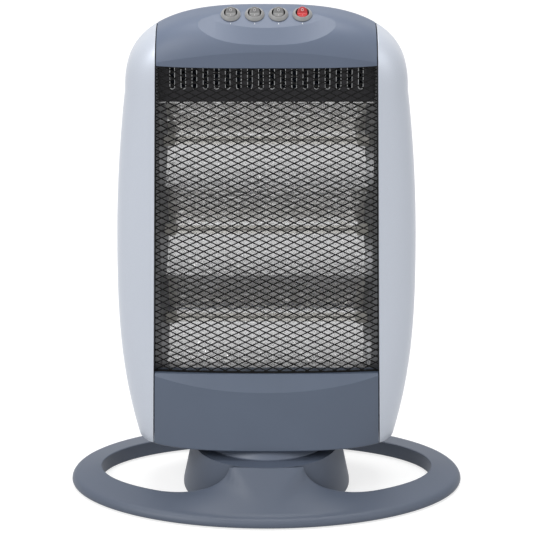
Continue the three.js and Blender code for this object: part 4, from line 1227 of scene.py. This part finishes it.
def glossy_moulding(name, colour, roughness):
    """Injection-moulded nylon or polycarbonate from a polished mould, with a faint flow haze."""
    material, tree, shader = new_material(name, {"IOR": 1.56})
    haze = noise(tree, 5 * MM)
    link(tree, shader, {
        "Roughness": spread(tree, haze, roughness - 0.06, roughness + 0.06),
        "Base Color": tinted(tree, colour, spread(tree, haze, 0.95, 1.05)),
        "Normal": rounded_by(tree, 0.4 * MM),
    })
    return material


label_height, label_drop = 3.4, 14.2
bezel_nylon = glossy_moulding("moulded_nylon_grey", "#8b8b8b", 0.4)
grey_rocker = glossy_moulding("polycarbonate_grey", "#747474", 0.35)
red_rocker = glossy_moulding("polycarbonate_red", "#ad2529", 0.3)
print_ink = glossy_moulding("pale_grey_print", "#e6e6e6", 0.5)
for i, x in enumerate(switch_xs):
    number = i + 1
    bezel = turned(f"switch_{number}_bezel", rounded_corners(bezel_profile, 0.35, 3), 96)
    dress(
        finish_edges(on_panel(bezel, x)), bezel_nylon, HEATER_BODY,
        "grey_plastic", f"switch_housing_{number}",
    )
    last = number == switch_count
    button = finish_edges(on_rocker(rocker_button(f"switch_{number}_button"), x), 60)
    dress(
        button, red_rocker if last else grey_rocker, f"rocker_{number}",
        "red_plastic" if last else "grey_plastic", f"switch_rocker_{number}",
    )
    marks = finish_edges(on_rocker(rocker_marks(f"switch_{number}_marks"), x), 60)
    dress(marks, print_ink, f"rocker_{number}")
    dress(on_panel(printed_number(f"switch_{number}_number", number), x), print_ink, HEATER_BODY)


# ---------------------------------------------------------------- room, lights and camera
# The heater stands on a pale floor that runs out into white, lit by soft boxes.

def seen_directly(tree):
    """1 where the camera or a mirror sees a surface, and 0 for the light that it sends on."""
    path = add_node(tree, "ShaderNodeLightPath", {})
    made = add_node(tree, "ShaderNodeMath", {
        0: path.outputs["Is Camera Ray"], 1: path.outputs["Is Glossy Ray"],
    }, operation="MAXIMUM")
    return made.outputs["Value"]


floor_reach, floor_lift = 9000, 0.72
floor_corners = [(x * floor_reach, y * floor_reach, 0) for x, y in ((-1, -1), (1, -1), (1, 1), (-1, 1))]
floor = new_piece("floor", floor_corners, [(0, 1, 2, 3)])
floor_material, tree, shader = new_material("matt_white_floor", {
    "Base Color": linear("#a8a8a8"), "Roughness": 0.9, "Specular IOR Level": 0.1,
    "Emission Color": (1, 1, 1, 1),
})
lift = add_node(tree, "ShaderNodeMath", {0: seen_directly(tree), 1: floor_lift}, operation="MULTIPLY")
link(tree, shader, {"Emission Strength": lift.outputs["Value"]})
floor.data.materials.append(floor_material)

world = bpy.data.worlds.new("studio")
bpy.context.scene.world = world
world.use_nodes = True
surroundings = world.node_tree.nodes["Background"]
surroundings.inputs["Color"].default_value = (1, 1, 1, 1)
strength = spread(world.node_tree, seen_directly(world.node_tree), 0.5, 1.0)
world.node_tree.links.new(strength, surroundings.inputs["Strength"])


def soft_box(name, place, aim, width, height, power_watts):
    """A rectangular soft light at a place in metres, facing a point."""
    light = bpy.data.lights.new(name, "AREA")
    light.shape = "RECTANGLE"
    light.size, light.size_y = width, height
    light.energy = power_watts
    made = bpy.data.objects.new(name, light)
    made.location = place
    made.rotation_euler = (Vector(aim) - Vector(place)).to_track_quat("-Z", "Y").to_euler()
    bpy.context.scene.collection.objects.link(made)


chest = (0, 0, 0.35)
soft_box("key_light", (-2.2, -2.4, 2.6), chest, 1.8, 1.8, 66)
soft_box("fill_light", (2.6, -2.2, 1.8), chest, 1.6, 2.0, 16)
soft_box("top_light", (0, 0.2, 3.2), chest, 2.0, 1.6, 60)

camera_data = bpy.data.cameras.new("camera")
camera_data.sensor_width = 36
camera_data.lens = 199.25
camera = bpy.data.objects.new("camera", camera_data)
camera.location = (0, -3.2939, 1.4751)
camera.rotation_euler = (math.radians(70), 0, 0)
bpy.context.scene.collection.objects.link(camera)
bpy.context.scene.camera = camera
bpy.context.scene.view_settings.view_transform = "Standard"
